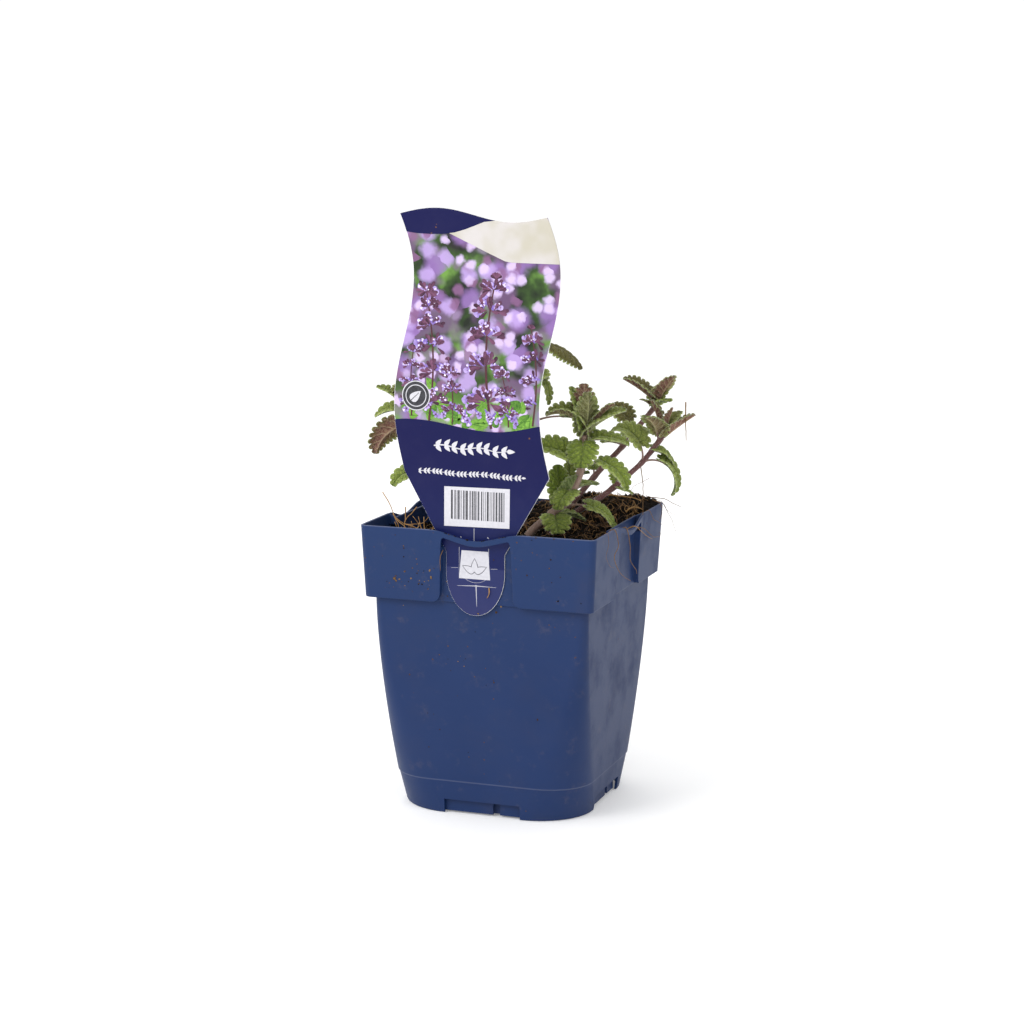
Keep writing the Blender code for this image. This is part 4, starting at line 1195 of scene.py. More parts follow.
def add_leaf_hairs(hairs, rng, halves, t, v, blade):
    """Fine hairs that stand out round the margin, and short ones over both faces."""
    for grid, normals in halves.values():
        rim = grid[:, -1]
        outward_way = rim - grid[:, -4]
        outward_way /= np.linalg.norm(outward_way, axis=1)[:, None] + 1e-9
        count = int(blade * EDGE_HAIRS_A_MM)
        pick = rng.integers(0, len(t), count)
        way = outward_way[pick] + rng.normal(0, 0.35, (count, 3))
        add_hairs(hairs, rim[pick] + rng.normal(0, 0.10, (count, 3)), way, rng.uniform(0.3, 0.65, count))
        count = int(blade * FACE_HAIRS_A_MM)
        i = rng.integers(1, len(t) - 1, count)
        j = rng.integers(0, len(v), count)
        face_side = rng.choice((-1.0, 1.0), count)
        way = normals[i, j] * face_side[:, None] + rng.normal(0, 0.5, (count, 3))
        add_hairs(hairs, grid[i, j] + rng.normal(0, 0.12, (count, 3)), way, rng.uniform(0.25, 0.5, count))


def add_hairs(hairs, start, way, length, width=HAIR_WIDTH):
    """Three-sided spikes from their roots along a direction."""
    way = way / (np.linalg.norm(way, axis=1)[:, None] + 1e-9)
    side = np.cross(way, (0.31, 0.52, 0.79))
    side /= np.linalg.norm(side, axis=1)[:, None] + 1e-9
    other = np.cross(way, side)
    foot = [start + width * (side * math.cos(a) + other * math.sin(a)) for a in (0.0, 2.094, 4.189)]
    points = np.stack([*foot, start + way * length[:, None]], 1).reshape(-1, 3)
    first = np.arange(len(start)) * 4
    faces = np.concatenate([np.stack([first + a, first + b, first + c], 1)
                            for a, b, c in ((0, 1, 3), (1, 2, 3), (2, 0, 3), (0, 2, 1))]).tolist()
    hairs.add(points, faces)


def add_fuzz(hairs, rng, path, radii, count, length):
    """Hairs that stand out all round a stem or petiole."""
    at = rng.uniform(0, len(path) - 1.01, count)
    i = at.astype(int)
    part = (at - i)[:, None]
    centre = path[i] * (1 - part) + path[i + 1] * part
    tangent = path[i + 1] - path[i]
    tangent /= np.linalg.norm(tangent, axis=1)[:, None] + 1e-9
    random_way = rng.normal(size=(count, 3))
    radial = random_way - (random_way * tangent).sum(1)[:, None] * tangent
    radial /= np.linalg.norm(radial, axis=1)[:, None] + 1e-9
    start = centre + radial * (np.asarray(radii)[i] * 0.92)[:, None]
    way = radial + rng.normal(0, 0.3, (count, 3)) - tangent * 0.15
    add_hairs(hairs, start, way, rng.uniform(0.4, 1.0, count) * length, STEM_HAIR_WIDTH)


def build_plants():
    """Each leafy stem with its swollen joints, its leaves and its hairs."""
    leaf_look = leaf_material()
    stem_look = stem_material()
    hair_look = hair_material()
    for number, (name, spec) in enumerate(STEMS.items()):
        rng = np.random.default_rng(100 + number)
        plant = Shape("blade_t", "blade_v", "under", "young", "leaf_size", "leaf_seed")
        hairs = Shape()
        path = smooth_path(spec["points"], 201)
        rings = smooth_path(spec["points"], 70)
        share = np.linspace(0, 1, 70)
        radii = spec["radius"][0] + (spec["radius"][1] - spec["radius"][0]) * share
        for place in {leaf[0] for leaf in spec["leaves"]}:
            radii = radii + NODE_SWELL * np.exp(-((share - place) / 0.018) ** 2)
        points, faces = closed_tube(rings, radii, 16, square=1.0)
        plant.add(points, faces, slot=1, blade_t=0.0, blade_v=0.0, under=0.0, young=spec["purple"],
                  leaf_size=20.0, leaf_seed=0.5)
        length = np.linalg.norm(np.diff(rings, axis=0), axis=1).sum()
        add_fuzz(hairs, rng, rings, radii, int(length * STEM_HAIRS_A_MM), 1.3)
        for k, (place, *shape, young) in enumerate(spec["leaves"]):
            add_leaf(plant, hairs, path[round(place * 200)], *shape, young, 1000 * number + k)
        piece = plant.build(name + "_fine", (leaf_look, stem_look), "catmint_green")
        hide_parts(name)
        hairs.build(name + "_hairs", (hair_look,), "catmint_green", smooth=False)


def blade_veins_group():
    """Masks of the veins and the fine net between them, and the raised domes in the net, on a blade."""
    group, inside, out = new_group("blade_veins", ("Along", "Across", "Size", "Seed"),
                                   ("Veins", "Net", "Domes"))
    across = calc(group, "ABSOLUTE", inside["Across"])
    slanted = calc(group, "SUBTRACT", inside["Along"], times(group, across, VEIN_SLANT))
    phase = calc(group, "FRACT", plus(group, times(group, slanted, float(VEIN_PAIRS)), 0.5))
    off = calc(group, "ABSOLUTE", calc(group, "SUBTRACT", phase, 0.5))
    side_vein = inverse(group, fade(group, off, 0.03, 0.13))
    midrib = inverse(group, fade(group, across, 0.02, 0.09))
    group.links.new(calc(group, "MAXIMUM", side_vein, midrib), out["Veins"])
    where = put(group, "ShaderNodeCombineXYZ", ((0, times(group, inside["Along"], 1.5)),
                                                (1, times(group, inside["Across"], 0.4)),
                                                (2, times(group, inside["Seed"], 9.0))))
    large = vector(group, "SCALE", where.outputs[0], inside["Size"])
    cells = put(group, "ShaderNodeTexVoronoi", (("Vector", large), ("Scale", 0.85)),
                feature="DISTANCE_TO_EDGE").outputs["Distance"]
    group.links.new(inverse(group, fade(group, cells, 0.02, 0.14)), out["Net"])
    group.links.new(fade(group, cells, 0.0, 0.34), out["Domes"])
    return group


def leaf_material():
    material, tree, shader = new_material("catmint_leaf")
    veins = put(tree, "ShaderNodeGroup", (), node_tree=blade_veins_group())
    across = attribute(tree, "blade_v")
    for key, name in (("Along", "blade_t"), ("Across", "blade_v"), ("Size", "leaf_size"),
                      ("Seed", "leaf_seed")):
        feed(tree, veins, (key, attribute(tree, name)))
    strong, net, dome = (veins.outputs[key] for key in ("Veins", "Net", "Domes"))
    where = place_in_mm(tree)
    under = attribute(tree, "under")
    young = attribute(tree, "young")
    seed = attribute(tree, "leaf_seed")
    mottle = noise(tree, where, 0.45, 6.0, 0.65)
    green = blend_colors(tree, mottle, (0.125, 0.195, 0.020), (0.34, 0.43, 0.058))
    green = blend_colors(tree, times(tree, seed, 0.4), green, (0.35, 0.39, 0.115))
    # Painted shade: darker green in the creases between the raised domes.
    green = blend_colors(tree, times(tree, inverse(tree, dome), 0.5), green,
                         (0.068, 0.108, 0.015))
    upper = blend_colors(tree, times(tree, strong, 0.35), green, (0.095, 0.14, 0.040))
    upper = blend_colors(tree, times(tree, young, 0.75), upper, (0.105, 0.055, 0.030))
    lower_green = blend_colors(tree, calc(tree, "MAXIMUM", strong, times(tree, net, 0.6)),
                               (0.13, 0.18, 0.050), (0.32, 0.38, 0.16))
    edge_way = calc(tree, "ABSOLUTE", across)
    purple = blend_colors(tree, noise(tree, where, 0.45, 3.0), (0.14, 0.045, 0.050), (0.25, 0.13, 0.080))
    green_edge = times(tree, fade(tree, edge_way, 0.35, 0.95),
                       calc(tree, "SUBTRACT", 1.15, young, clamp=True))
    purple = blend_colors(tree, green_edge, purple, (0.27, 0.31, 0.065))
    lower_young = blend_colors(tree, calc(tree, "MAXIMUM", times(tree, strong, 0.75),
                                          times(tree, net, 0.35)), purple, (0.46, 0.34, 0.22))
    lower = blend_colors(tree, fade(tree, young, 0.1, 0.75), lower_green, lower_young)
    color = blend_colors(tree, under, upper, lower)
    margin = fade(tree, edge_way, 0.80, 1.0)
    color = blend_colors(tree, times(tree, margin, 0.75), color, (0.42, 0.49, 0.16))
    feed(tree, shader, ("Base Color", color), ("Roughness", 0.72), ("Specular IOR Level", 0.3))
    feed(tree, shader, ("Sheen Weight", 0.12), ("Sheen Roughness", 0.5), ("Sheen Tint", (0.9, 0.95, 0.8)),
         ("Subsurface Weight", 0.12), ("Subsurface Radius", (0.5, 0.8, 0.2)), ("Subsurface Scale", 0.6 * MM))
    relief = calc(tree, "SUBTRACT", dome, times(tree, strong, 0.8))
    facing = inverse(tree, times(tree, under, 1.7))
    bump(tree, times(tree, relief, facing), 0.9, 0.30, shader)
    return material


def stem_material():
    material, tree, shader = new_material("catmint_stem")
    where = place_in_mm(tree)
    streaks = vector(tree, "MULTIPLY", where, (1.4, 1.4, 0.12))
    grain = noise(tree, streaks, 1.0, 4.0)
    pale = blend_colors(tree, grain, (0.26, 0.17, 0.12), (0.52, 0.37, 0.31))
    dark = blend_colors(tree, grain, (0.030, 0.004, 0.011), (0.15, 0.038, 0.045))
    color = blend_colors(tree, attribute(tree, "young"), pale, dark)
    feed(tree, shader, ("Base Color", color), ("Roughness", 0.6), ("Specular IOR Level", 0.3))
    feed(tree, shader, ("Sheen Weight", 0.08), ("Sheen Roughness", 0.5))
    bump(tree, grain, 0.6, 0.15, shader)
    return material


def hair_material():
    material, tree, shader = new_material("white_plant_hairs")
    where = place_in_mm(tree)
    color = blend_colors(tree, noise(tree, where, 0.3, 2.0), (0.75, 0.75, 0.66), (0.90, 0.90, 0.86))
    feed(tree, shader, ("Base Color", color), ("Roughness", 0.5))
    return material


# Label

def label_centre(z):
    """The middle between the label's waved sides, which leans left near the top."""
    reach, from_z, over = LABEL_LEAN
    lean = reach * max((z - from_z) / over, 0.0) ** 2
    high, middle, long = SIDE_WAVE
    return LABEL_MID_X + high * math.sin(2 * math.pi * (z - middle) / long) + lean


def label_top(x):
    high, middle, long = TOP_WAVE
    return LABEL_TOP_Z + high * math.cos(2 * math.pi * (x - middle) / long)


def label_side(sign, low_z, high_z, inset=0.0, count=40):
    """Points up or down one waved side of the label."""
    half = LABEL_WIDE / 2 - inset
    return [(label_centre(z) + sign * half, z) for z in np.linspace(low_z, high_z, count)]


def label_corners(inset=0.0):
    """The x of the label's top left and top right corners."""
    half = LABEL_WIDE / 2 - inset
    return label_centre(LABEL_TOP_Z) - half, label_centre(LABEL_TOP_Z) + half


def tongue_outline(inset=0.0):
    """The tongue from its left shoulder round its end to its right shoulder."""
    half = TONGUE_HALF - inset
    long = TONGUE_ROUND_Z - TONGUE_END_Z - inset
    points = [(TONGUE_MID_X - half, TONGUE_TOP_Z)]
    for k in range(33):
        a = math.pi + math.pi * k / 32
        points.append((TONGUE_MID_X + half * math.cos(a), TONGUE_ROUND_Z + long * math.sin(a)))
    return points + [(TONGUE_MID_X + half, TONGUE_TOP_Z)]


def label_outline():
    """The label's outline in the x, z plane: waved sides and top, and a round tongue."""
    left_x, right_x = label_corners()
    outline = label_side(1, LABEL_CORNER_Z, label_top(right_x))
    outline += [(x, label_top(x)) for x in np.linspace(right_x, left_x, 42)[1:-1]]
    outline += label_side(-1, label_top(left_x), LABEL_CORNER_Z)
    return outline + tongue_outline()


def plate(shape, outline, front_y, back_y, slot=0, **values):
    """A flat plate with the given outline in x and z, as a closed solid."""
    n = len(outline)
    points = [(x, front_y, z) for x, z in outline] + [(x, back_y, z) for x, z in outline]
    area = sum(a[0] * b[1] - b[0] * a[1] for a, b in zip(outline, outline[1:] + outline[:1]))
    ring = list(range(n)) if area > 0 else list(range(n))[::-1]
    faces = [ring, [i + n for i in ring[::-1]]]
    faces += [[b, a, a + n, b + n] for a, b in zip(ring, ring[1:] + ring[:1])]
    shape.add(points, faces, slot=slot, **values)


class Picture(Shape):
    """Printed patches on the label's front. Each layer has its own height, and patches differ a little."""

    def __init__(self):
        super().__init__("tone")

    def patch(self, outline, layer, slot=0, tone=0.5):
        lift = INK_LAYER * layer + INK_STEP * (len(self.points) % 40)
        tones = np.tile(np.broadcast_to(np.asarray(tone, float), (len(outline),)), 2)
        plate(self, outline, LABEL_FRONT_Y - lift, LABEL_FRONT_Y + 0.1, slot=slot, tone=tones)

    def lay(self, name, *inks):
        """Puts the patches on the label as one piece."""
        self.build(name, inks, "label_plastic", smooth=False)


def oval(x, z, long_half, wide_half, angle=0.0, points=12):
    turn = 2 * math.pi * np.arange(points) / points
    c, s = math.cos(angle), math.sin(angle)
    return [(x + long_half * math.cos(a) * c - wide_half * math.sin(a) * s,
             z + long_half * math.cos(a) * s + wide_half * math.sin(a) * c) for a in turn]


PETAL_FORM = ((0.0, 0.10), (0.35, 0.30), (0.68, 0.50), (0.90, 0.40), (1.0, 0.16),
              (1.0, -0.16), (0.90, -0.40), (0.68, -0.50), (0.35, -0.30), (0.0, -0.10))
LEAF_FORM = ((0.0, 0.02), (0.06, 0.30), (0.20, 0.48), (0.40, 0.47), (0.62, 0.36), (0.84, 0.17), (1.0, 0.0),
             (0.84, -0.17), (0.62, -0.36), (0.40, -0.47), (0.20, -0.48), (0.06, -0.30))


def drawn(form, x, z, length, width, angle):
    """A petal or leaf form laid from its foot at x, z."""
    c, s = math.cos(angle), math.sin(angle)
    return [(x + u * length * c - w * width * s, z + u * length * s + w * width * c) for u, w in form]


def straight(start, end):
    """A line's two ends with its middle between them."""
    return [start, ((start[0] + end[0]) / 2, (start[1] + end[1]) / 2), end]


def ribbon(line, width0, width1):
    """A strip of changing width along points in x and z."""
    line = np.asarray(line, float)
    way = np.gradient(line, axis=0)
    way /= np.linalg.norm(way, axis=1)[:, None]
    across = np.stack([-way[:, 1], way[:, 0]], 1) * np.linspace(width0, width1, len(line))[:, None] / 2
    return [tuple(p) for p in line + across] + [tuple(p) for p in (line - across)[::-1]]


def build_label():
    """The white sheet and the pieces printed on it."""
    sheet = Shape()
    plate(sheet, label_outline(), LABEL_FRONT_Y, LABEL_BACK_Y)
    piece = sheet.build("plant_label_sheet", (label_plastic(),), "label_plastic", smooth=False)
    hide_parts("plant_label")
    build_picture()
    build_navy_print()
    build_plain_marks()


def label_plastic():
    material, tree, shader = new_material("label_white_plastic")
    where = place_in_mm(tree)
    specks, film = dust(tree, where, 0.15, 0.3)
    color = blend_colors(tree, times(tree, film, 0.4), (0.78, 0.78, 0.79), (0.62, 0.60, 0.56))
    color = blend_colors(tree, specks, color, (0.12, 0.07, 0.03))
    feed(tree, shader, ("Base Color", color), ("Roughness", 0.35))
    return material


def picture_low_edge(x):
    """The wave where the printed picture ends and the navy field starts."""
    high, middle, long = PICTURE_WAVE
    wave = high * math.sin(2 * math.pi * (x - middle) / long)
    return PICTURE_LOW_Z + wave + 0.03 * max(x - 10.0, 0.0) ** 1.2


def picture_outline():
    left_x, right_x = label_corners(PRINT_EDGE)
    from_x = label_centre(178) - LABEL_WIDE / 2 + PRINT_EDGE
    to_x = label_centre(180) + LABEL_WIDE / 2 - PRINT_EDGE
    outline = [(x, picture_low_edge(x)) for x in np.linspace(from_x, to_x, LOW_EDGE_POINTS)]
    outline += label_side(1, outline[-1][1] + 1.0, label_top(right_x) - PRINT_EDGE, PRINT_EDGE)
    outline += [(x, label_top(x) - PRINT_EDGE) for x in np.linspace(right_x, left_x, 42)[1:-1]]
    outline += label_side(-1, label_top(left_x) - PRINT_EDGE, outline[0][1] + 1.0, PRINT_EDGE)
    return outline


def inside_picture(x, z, margin):
    if z < picture_low_edge(x) + 0.2 or z > label_top(x) - margin:
        return False
    return abs(x - label_centre(z)) < LABEL_WIDE / 2 - margin - PRINT_EDGE


STALK_INK, BUD_INK, LILAC_INK, PALE_INK, LEAF_INK = range(5)
# Inks in that order: name, dark tone and light tone
PICTURE_INKS = (("printed_stalk", (0.035, 0.006, 0.010), (0.15, 0.05, 0.06)),
                ("printed_bud", (0.035, 0.008, 0.024), (0.20, 0.075, 0.15)),
                ("printed_lilac", (0.17, 0.10, 0.42), (0.60, 0.47, 0.80)),
                ("printed_pale_petal", (0.60, 0.50, 0.84), (0.90, 0.85, 0.97)),
                ("printed_leaf", (0.030, 0.12, 0.010), (0.34, 0.66, 0.09)))
# Each printed spray: foot x and z, tip x and z, bend to the right, and size
SPRAYS = ((-31, 181, -30, 212, -1.0, 0.62), (14, 178, 10, 204, 1.0, 0.62), (-12, 178, -14, 207, 1.0, 0.64),
          (25, 179, 24, 222, 2.0, 0.80), (-23, 178, -24, 236, 2.5, 0.95), (6, 177, 8, 243, -3.5, 1.12))


def build_picture():
    """A printed field of lilac flowers over a blurred border."""
    ground = Picture()
    ground.patch(picture_outline(), 1)
    ground.lay("label_picture_ground", blurred_border())
    rng = np.random.default_rng(5)
    flowers = Picture()
    for _ in range(PRINTED_LEAVES):
        x = rng.uniform(-36, 28)
        z = picture_low_edge(x) + abs(rng.normal(0, 6.0))
        draw_leaf(flowers, rng, x, z, rng.uniform(3.5, 7.0))
    for spray in SPRAYS:
        draw_spray(flowers, rng, *spray)
    for _ in range(LOW_BLOSSOMS):
        x = rng.uniform(-36, 28)
        draw_blossom(flowers, rng, x, picture_low_edge(x) + rng.uniform(2.5, 8.0), rng.uniform(2.0, 2.8),
                     rng.uniform(-2.6, -0.5))
    flowers.lay("label_printed_flowers", *(printed_ink(*ink) for ink in PICTURE_INKS))


def draw_spray(flowers, rng, x0, z0, x1, z1, bend, size):
    """A stalk with whorls of dark buds and open lilac flowers, closer together towards the tip."""
    line = [(x0 + (x1 - x0) * k + bend * math.sin(math.pi * k), z0 + (z1 - z0) * k)
            for k in np.linspace(0, 1, 24)]
    flowers.patch(ribbon(line, 1.05 * size, 0.5 * size), 3, STALK_INK, 0.4)
    xs, zs = zip(*line)
    z = z0 + 10 * size
    gap = 14.0 * size
    while z < z1:
        x = float(np.interp(z, zs, xs))
        share = (z - z0) / (z1 - z0)
        reach = (8.4 - 4.6 * share ** 2) * size
        draw_whorl(flowers, rng, x, z, reach, size, share)
        z += gap
        gap *= 0.84
    for angle in np.linspace(0.5, 2.6, 6):
        bud = drawn(PETAL_FORM, xs[-1], zs[-1] - 1.0, 2.6 * size, 1.2 * size, angle)
        flowers.patch(bud, 4, BUD_INK, rng.random())


def draw_whorl(flowers, rng, x, z, reach, size, share):
    """A ring of dark pointed buds, with open flowers that face outward and down over it."""
    for _ in range(int(24 - 8 * share)):
        angle = rng.uniform(-0.6, math.pi + 0.6)
        r = reach * rng.uniform(0.05, 0.72)
        px, pz = x + r * math.cos(angle), z + 0.55 * r * math.sin(angle)
        if inside_picture(px, pz, 3.4 * size):
            bud = drawn(PETAL_FORM, px, pz, rng.uniform(2.8, 4.2) * size, 1.5 * size,
                        angle + rng.normal(0, 0.3))
            flowers.patch(bud, 6, BUD_INK, rng.random() + np.linspace(-0.2, 0.2, 10))
    for _ in range(int(8 - 4 * share)):
        angle = rng.uniform(-0.5, math.pi + 0.5)
        r = reach * rng.uniform(0.45, 1.0)
        facing = angle - 0.5 * math.copysign(1.0, math.cos(angle)) + rng.normal(0, 0.3)
        draw_blossom(flowers, rng, x + r * math.cos(angle), z + (0.55 * r * math.sin(angle) + 0.8) * size,
                     rng.uniform(2.4, 3.3) * size, facing)


# An open flower's lobes: turn from the way it faces, length and width; the broad lower lip is first
LOBES = ((0.0, 1.0, 1.05), (1.05, 0.62, 0.60), (-1.05, 0.62, 0.60), (2.45, 0.58, 0.52), (-2.55, 0.58, 0.52))


def draw_blossom(flowers, rng, x, z, size, facing):
    """An open two-lipped flower: a violet tube behind, a broad spotted lower lip and four small lobes."""
    if not inside_picture(x, z, size * 1.15):
        return
    tone = rng.uniform(0.0, 0.75)
    c, s = math.cos(facing), math.sin(facing)
    tube = straight((x - 1.25 * size * c, z - 1.25 * size * s), (x, z))
    flowers.patch(ribbon(tube, 0.22 * size, 0.60 * size), 4, LILAC_INK, 0.15 * tone)
    for turn, length, wide in LOBES:
        angle = facing + turn + rng.normal(0, 0.14)
        length *= size * rng.uniform(0.85, 1.15)
        outline = drawn(PETAL_FORM, x, z, length, wide * size * rng.uniform(0.75, 1.0), angle)
        flowers.patch(outline, 5, LILAC_INK, tone * 0.6 + 0.55 * np.array([u for u, _ in PETAL_FORM]) ** 2)
        if rng.random() < 0.3:
            foot_x, foot_z = x + 0.42 * length * math.cos(angle), z + 0.42 * length * math.sin(angle)
            shine = drawn(PETAL_FORM, foot_x, foot_z, 0.52 * length, 0.45 * wide * size,
                          angle + rng.normal(0, 0.25))
            flowers.patch(shine, 6, PALE_INK, rng.random())
    for _ in range(3):
        at, off = rng.uniform(0.15, 0.55) * size, rng.normal(0, 0.13) * size
        flowers.patch(oval(x + at * c - off * s, z + at * s + off * c, 0.09 * size, 0.06 * size, facing, 6),
                      7, BUD_INK, 0.9)
    flowers.patch(oval(x, z, 0.15 * size, 0.20 * size, facing, 7), 7, BUD_INK, 0.35)


def draw_leaf(flowers, rng, x, z, size):
    """A printed leaf with its rib, where it fits inside the picture."""
    angle = rng.uniform(-0.2, math.pi + 0.2)
    tip_x, tip_z = x + size * math.cos(angle), z + size * math.sin(angle)
    if inside_picture(tip_x, tip_z, 0.6) and inside_picture(x, z, size * 0.5):
        tone = rng.uniform(0.0, 0.6)
        flowers.patch(drawn(LEAF_FORM, x, z, size, size * 0.75, angle), 2, LEAF_INK,
                      tone + 0.4 * np.array([max(w, 0.0) for _, w in LEAF_FORM]))
        flowers.patch(ribbon([(x, z), (tip_x, tip_z)], 0.30, 0.10), 3, LEAF_INK, 0.0)


def printed_ink(name, dark, light):
    material, tree, shader = new_material(name)
    where = place_in_mm(tree)
    mixed = plus(tree, times(tree, attribute(tree, "tone"), 0.8),
                 times(tree, calc(tree, "SUBTRACT", noise(tree, where, 0.9, 3.0), 0.4), 0.6), clamp=True)
    color = blend_colors(tree, mixed, dark, light)
    feed(tree, shader, ("Base Color", color), ("Roughness", 0.4), ("Specular IOR Level", 0.3))
    return material


def blurred_border():
    """Out-of-focus dark greens and lilacs behind the printed flowers."""
    material, tree, shader = new_material("printed_blurred_border")
    where = place_in_mm(tree)
    axes = put(tree, "ShaderNodeSeparateXYZ", ((0, where),)).outputs
    flat = put(tree, "ShaderNodeCombineXYZ", ((0, axes[0]), (1, axes[2]))).outputs[0]
    green = steps(tree, noise(tree, flat, 0.075, 3.0), (0.38, (0.006, 0.012, 0.004)),
                  (0.52, (0.030, 0.070, 0.012)), (0.66, (0.14, 0.29, 0.05)))
    green = blend_colors(tree, times(tree, fade(tree, axes[2], 202.0, 178.0), 0.6), green,
                         (0.20, 0.44, 0.06))
    haze = fade(tree, noise(tree, flat, 0.06, 2.0), 0.46, 0.60)
    color = blend_colors(tree, times(tree, haze, 0.6), green, (0.20, 0.10, 0.24))
    crooked = put(tree, "ShaderNodeTexNoise",
                  (("Vector", flat), ("Scale", 0.25), ("Detail", 2.0))).outputs["Color"]
    moved = vector(tree, "ADD", flat, vector(tree, "SCALE", crooked, 3.5))
    for scale, share, tint in ((0.075, 0.40, (0.26, 0.14, 0.40)), (0.10, 0.50, (0.46, 0.32, 0.66)),
                               (0.15, 0.62, (0.22, 0.10, 0.22)), (0.17, 0.60, (0.66, 0.52, 0.82))):
        cells = put(tree, "ShaderNodeTexVoronoi", (("Vector", moved), ("Scale", scale), ("Randomness", 0.9)),
                    voronoi_dimensions="2D")
        spot = inverse(tree, fade(tree, cells.outputs["Distance"], 0.20, 0.52))
        chance = put(tree, "ShaderNodeSeparateColor", ((0, cells.outputs["Color"]),)).outputs[0]
        picked = fade(tree, chance, share, share + 0.1)
        color = blend_colors(tree, times(tree, times(tree, spot, picked), 0.85), color, tint)
    feed(tree, shader, ("Base Color", color), ("Roughness", 0.4), ("Specular IOR Level", 0.3))
    return material


# The navy cap's lower edge and the bare cream corner, as x and z
CAP_LOW_EDGE = ((-28.0, 260.8), (-21.6, 260.6), (-15.5, 260.8), (-11.0, 261.5), (-6.5, 262.8),
                (-2.0, 264.5), (2.5, 266.3))
CAP_SIDE_Z = 261.4
CREAM_LOW_EDGE = ((-13.5, 261.1), (2.4, 253.9), (12.0, 249.7), (15.0, 249.2))
CREAM_SIDE_Z = 249.0


def build_navy_print():
    """The navy cap and field, and the bare cream corner."""
    fields = Picture()
    left_x, right_x = label_corners(PRINT_EDGE)
    edge = picture_outline()[:LOW_EDGE_POINTS]
    base = edge[::-1] + label_side(-1, edge[0][1] - 0.3, LABEL_CORNER_Z, PRINT_EDGE, 20)
    base += tongue_outline(PRINT_EDGE) + label_side(1, LABEL_CORNER_Z, edge[-1][1] - 0.3, PRINT_EDGE, 20)
    fields.patch(base, 8)
    cap_end = 7.5
    cap = [(x, label_top(x) - PRINT_EDGE) for x in np.linspace(left_x, cap_end, 30)]
    cap += CAP_LOW_EDGE[::-1]
    cap += label_side(-1, CAP_SIDE_Z, label_top(left_x) - 1.0, PRINT_EDGE, 10)
    fields.patch(cap, 9)
    fields.lay("label_navy_fields", navy_ink())
    corner = Picture()
    cream = [(x, label_top(x) - PRINT_EDGE) for x in np.linspace(2.0, right_x, 24)]
    cream += label_side(1, label_top(right_x) - PRINT_EDGE, CREAM_SIDE_Z, PRINT_EDGE, 12)[1:]
    corner.patch(cream + list(CREAM_LOW_EDGE[::-1]), 8)
    corner.lay("label_cream_corner", cream_ink())


def navy_ink():
    material, tree, shader = new_material("printed_navy")
    where = place_in_mm(tree)
    specks, film = dust(tree, where, 0.35, 0.2)
    height = put(tree, "ShaderNodeSeparateXYZ", ((0, where),)).outputs[2]
    navy = blend_colors(tree, fade(tree, height, 165.0, 120.0), (0.004, 0.005, 0.060), (0.006, 0.011, 0.074))
    low_band = times(tree, fade(tree, height, 115.2, 114.6), 0.35)
    navy = blend_colors(tree, low_band, navy, (0.045, 0.055, 0.16))
    dusty = blend_colors(tree, times(tree, film, 0.25), navy, (0.10, 0.09, 0.15))
    color = blend_colors(tree, specks, dusty, (0.16, 0.07, 0.02))
    feed(tree, shader, ("Base Color", color), ("Roughness", 0.38), ("Specular IOR Level", 0.17))
    bump(tree, noise(tree, where, 1.8, 3.0), 0.15, 0.08, shader)
    return material


def cream_ink():
    material, tree, shader = new_material("printed_cream")
    where = place_in_mm(tree)
    soft = blend_colors(tree, fade(tree, noise(tree, where, 0.07, 2.0), 0.35, 0.65), (0.49, 0.46, 0.38),
                        (0.58, 0.55, 0.54))
    feed(tree, shader, ("Base Color", soft), ("Roughness", 0.4))
    return material


# The plain marks: white panel corners, its bars, the round seal and the patch on the tongue, as x and z
PANEL = ((-15.6, 133.0), (14.8, 133.5), (14.9, 151.0), (-15.6, 150.6))
BARS_FROM_X = -12.4
BARS_TO_X = 12.6
BARS_LOW_Z = 136.3
BARS_HIGH_Z = 149.2
BAR_UNIT = 0.27
SEAL = (-28.9, 190.0)
SEAL_RADIUS = 6.6
PATCH = ((-8.6, 110.0), (6.0, 110.0), (5.0, 122.6), (-7.4, 122.6))
WHITE_MARK, DARK_MARK = range(2)
MARK_INKS = (("printed_white", (0.42, 0.42, 0.47), (0.66, 0.65, 0.69)),
             ("printed_dark", (0.010, 0.010, 0.014), (0.13, 0.13, 0.15)))
# Rows of small leaves: start x and z, end x and z, leaf length and pairs
SPRIGS = ((-20.5, 168.4, 13.5, 167.4, 3.7, 9), (-27.5, 156.9, 20.5, 156.2, 1.8, 25))
# Rings of the seal, each smaller than the one before: inset, layer and ink
SEAL_RINGS = ((0.0, 8, WHITE_MARK), (0.45, 9, DARK_MARK), (1.7, 10, WHITE_MARK), (2.1, 11, DARK_MARK))
MOTIF_FOOT = (-1.3, 113.0)


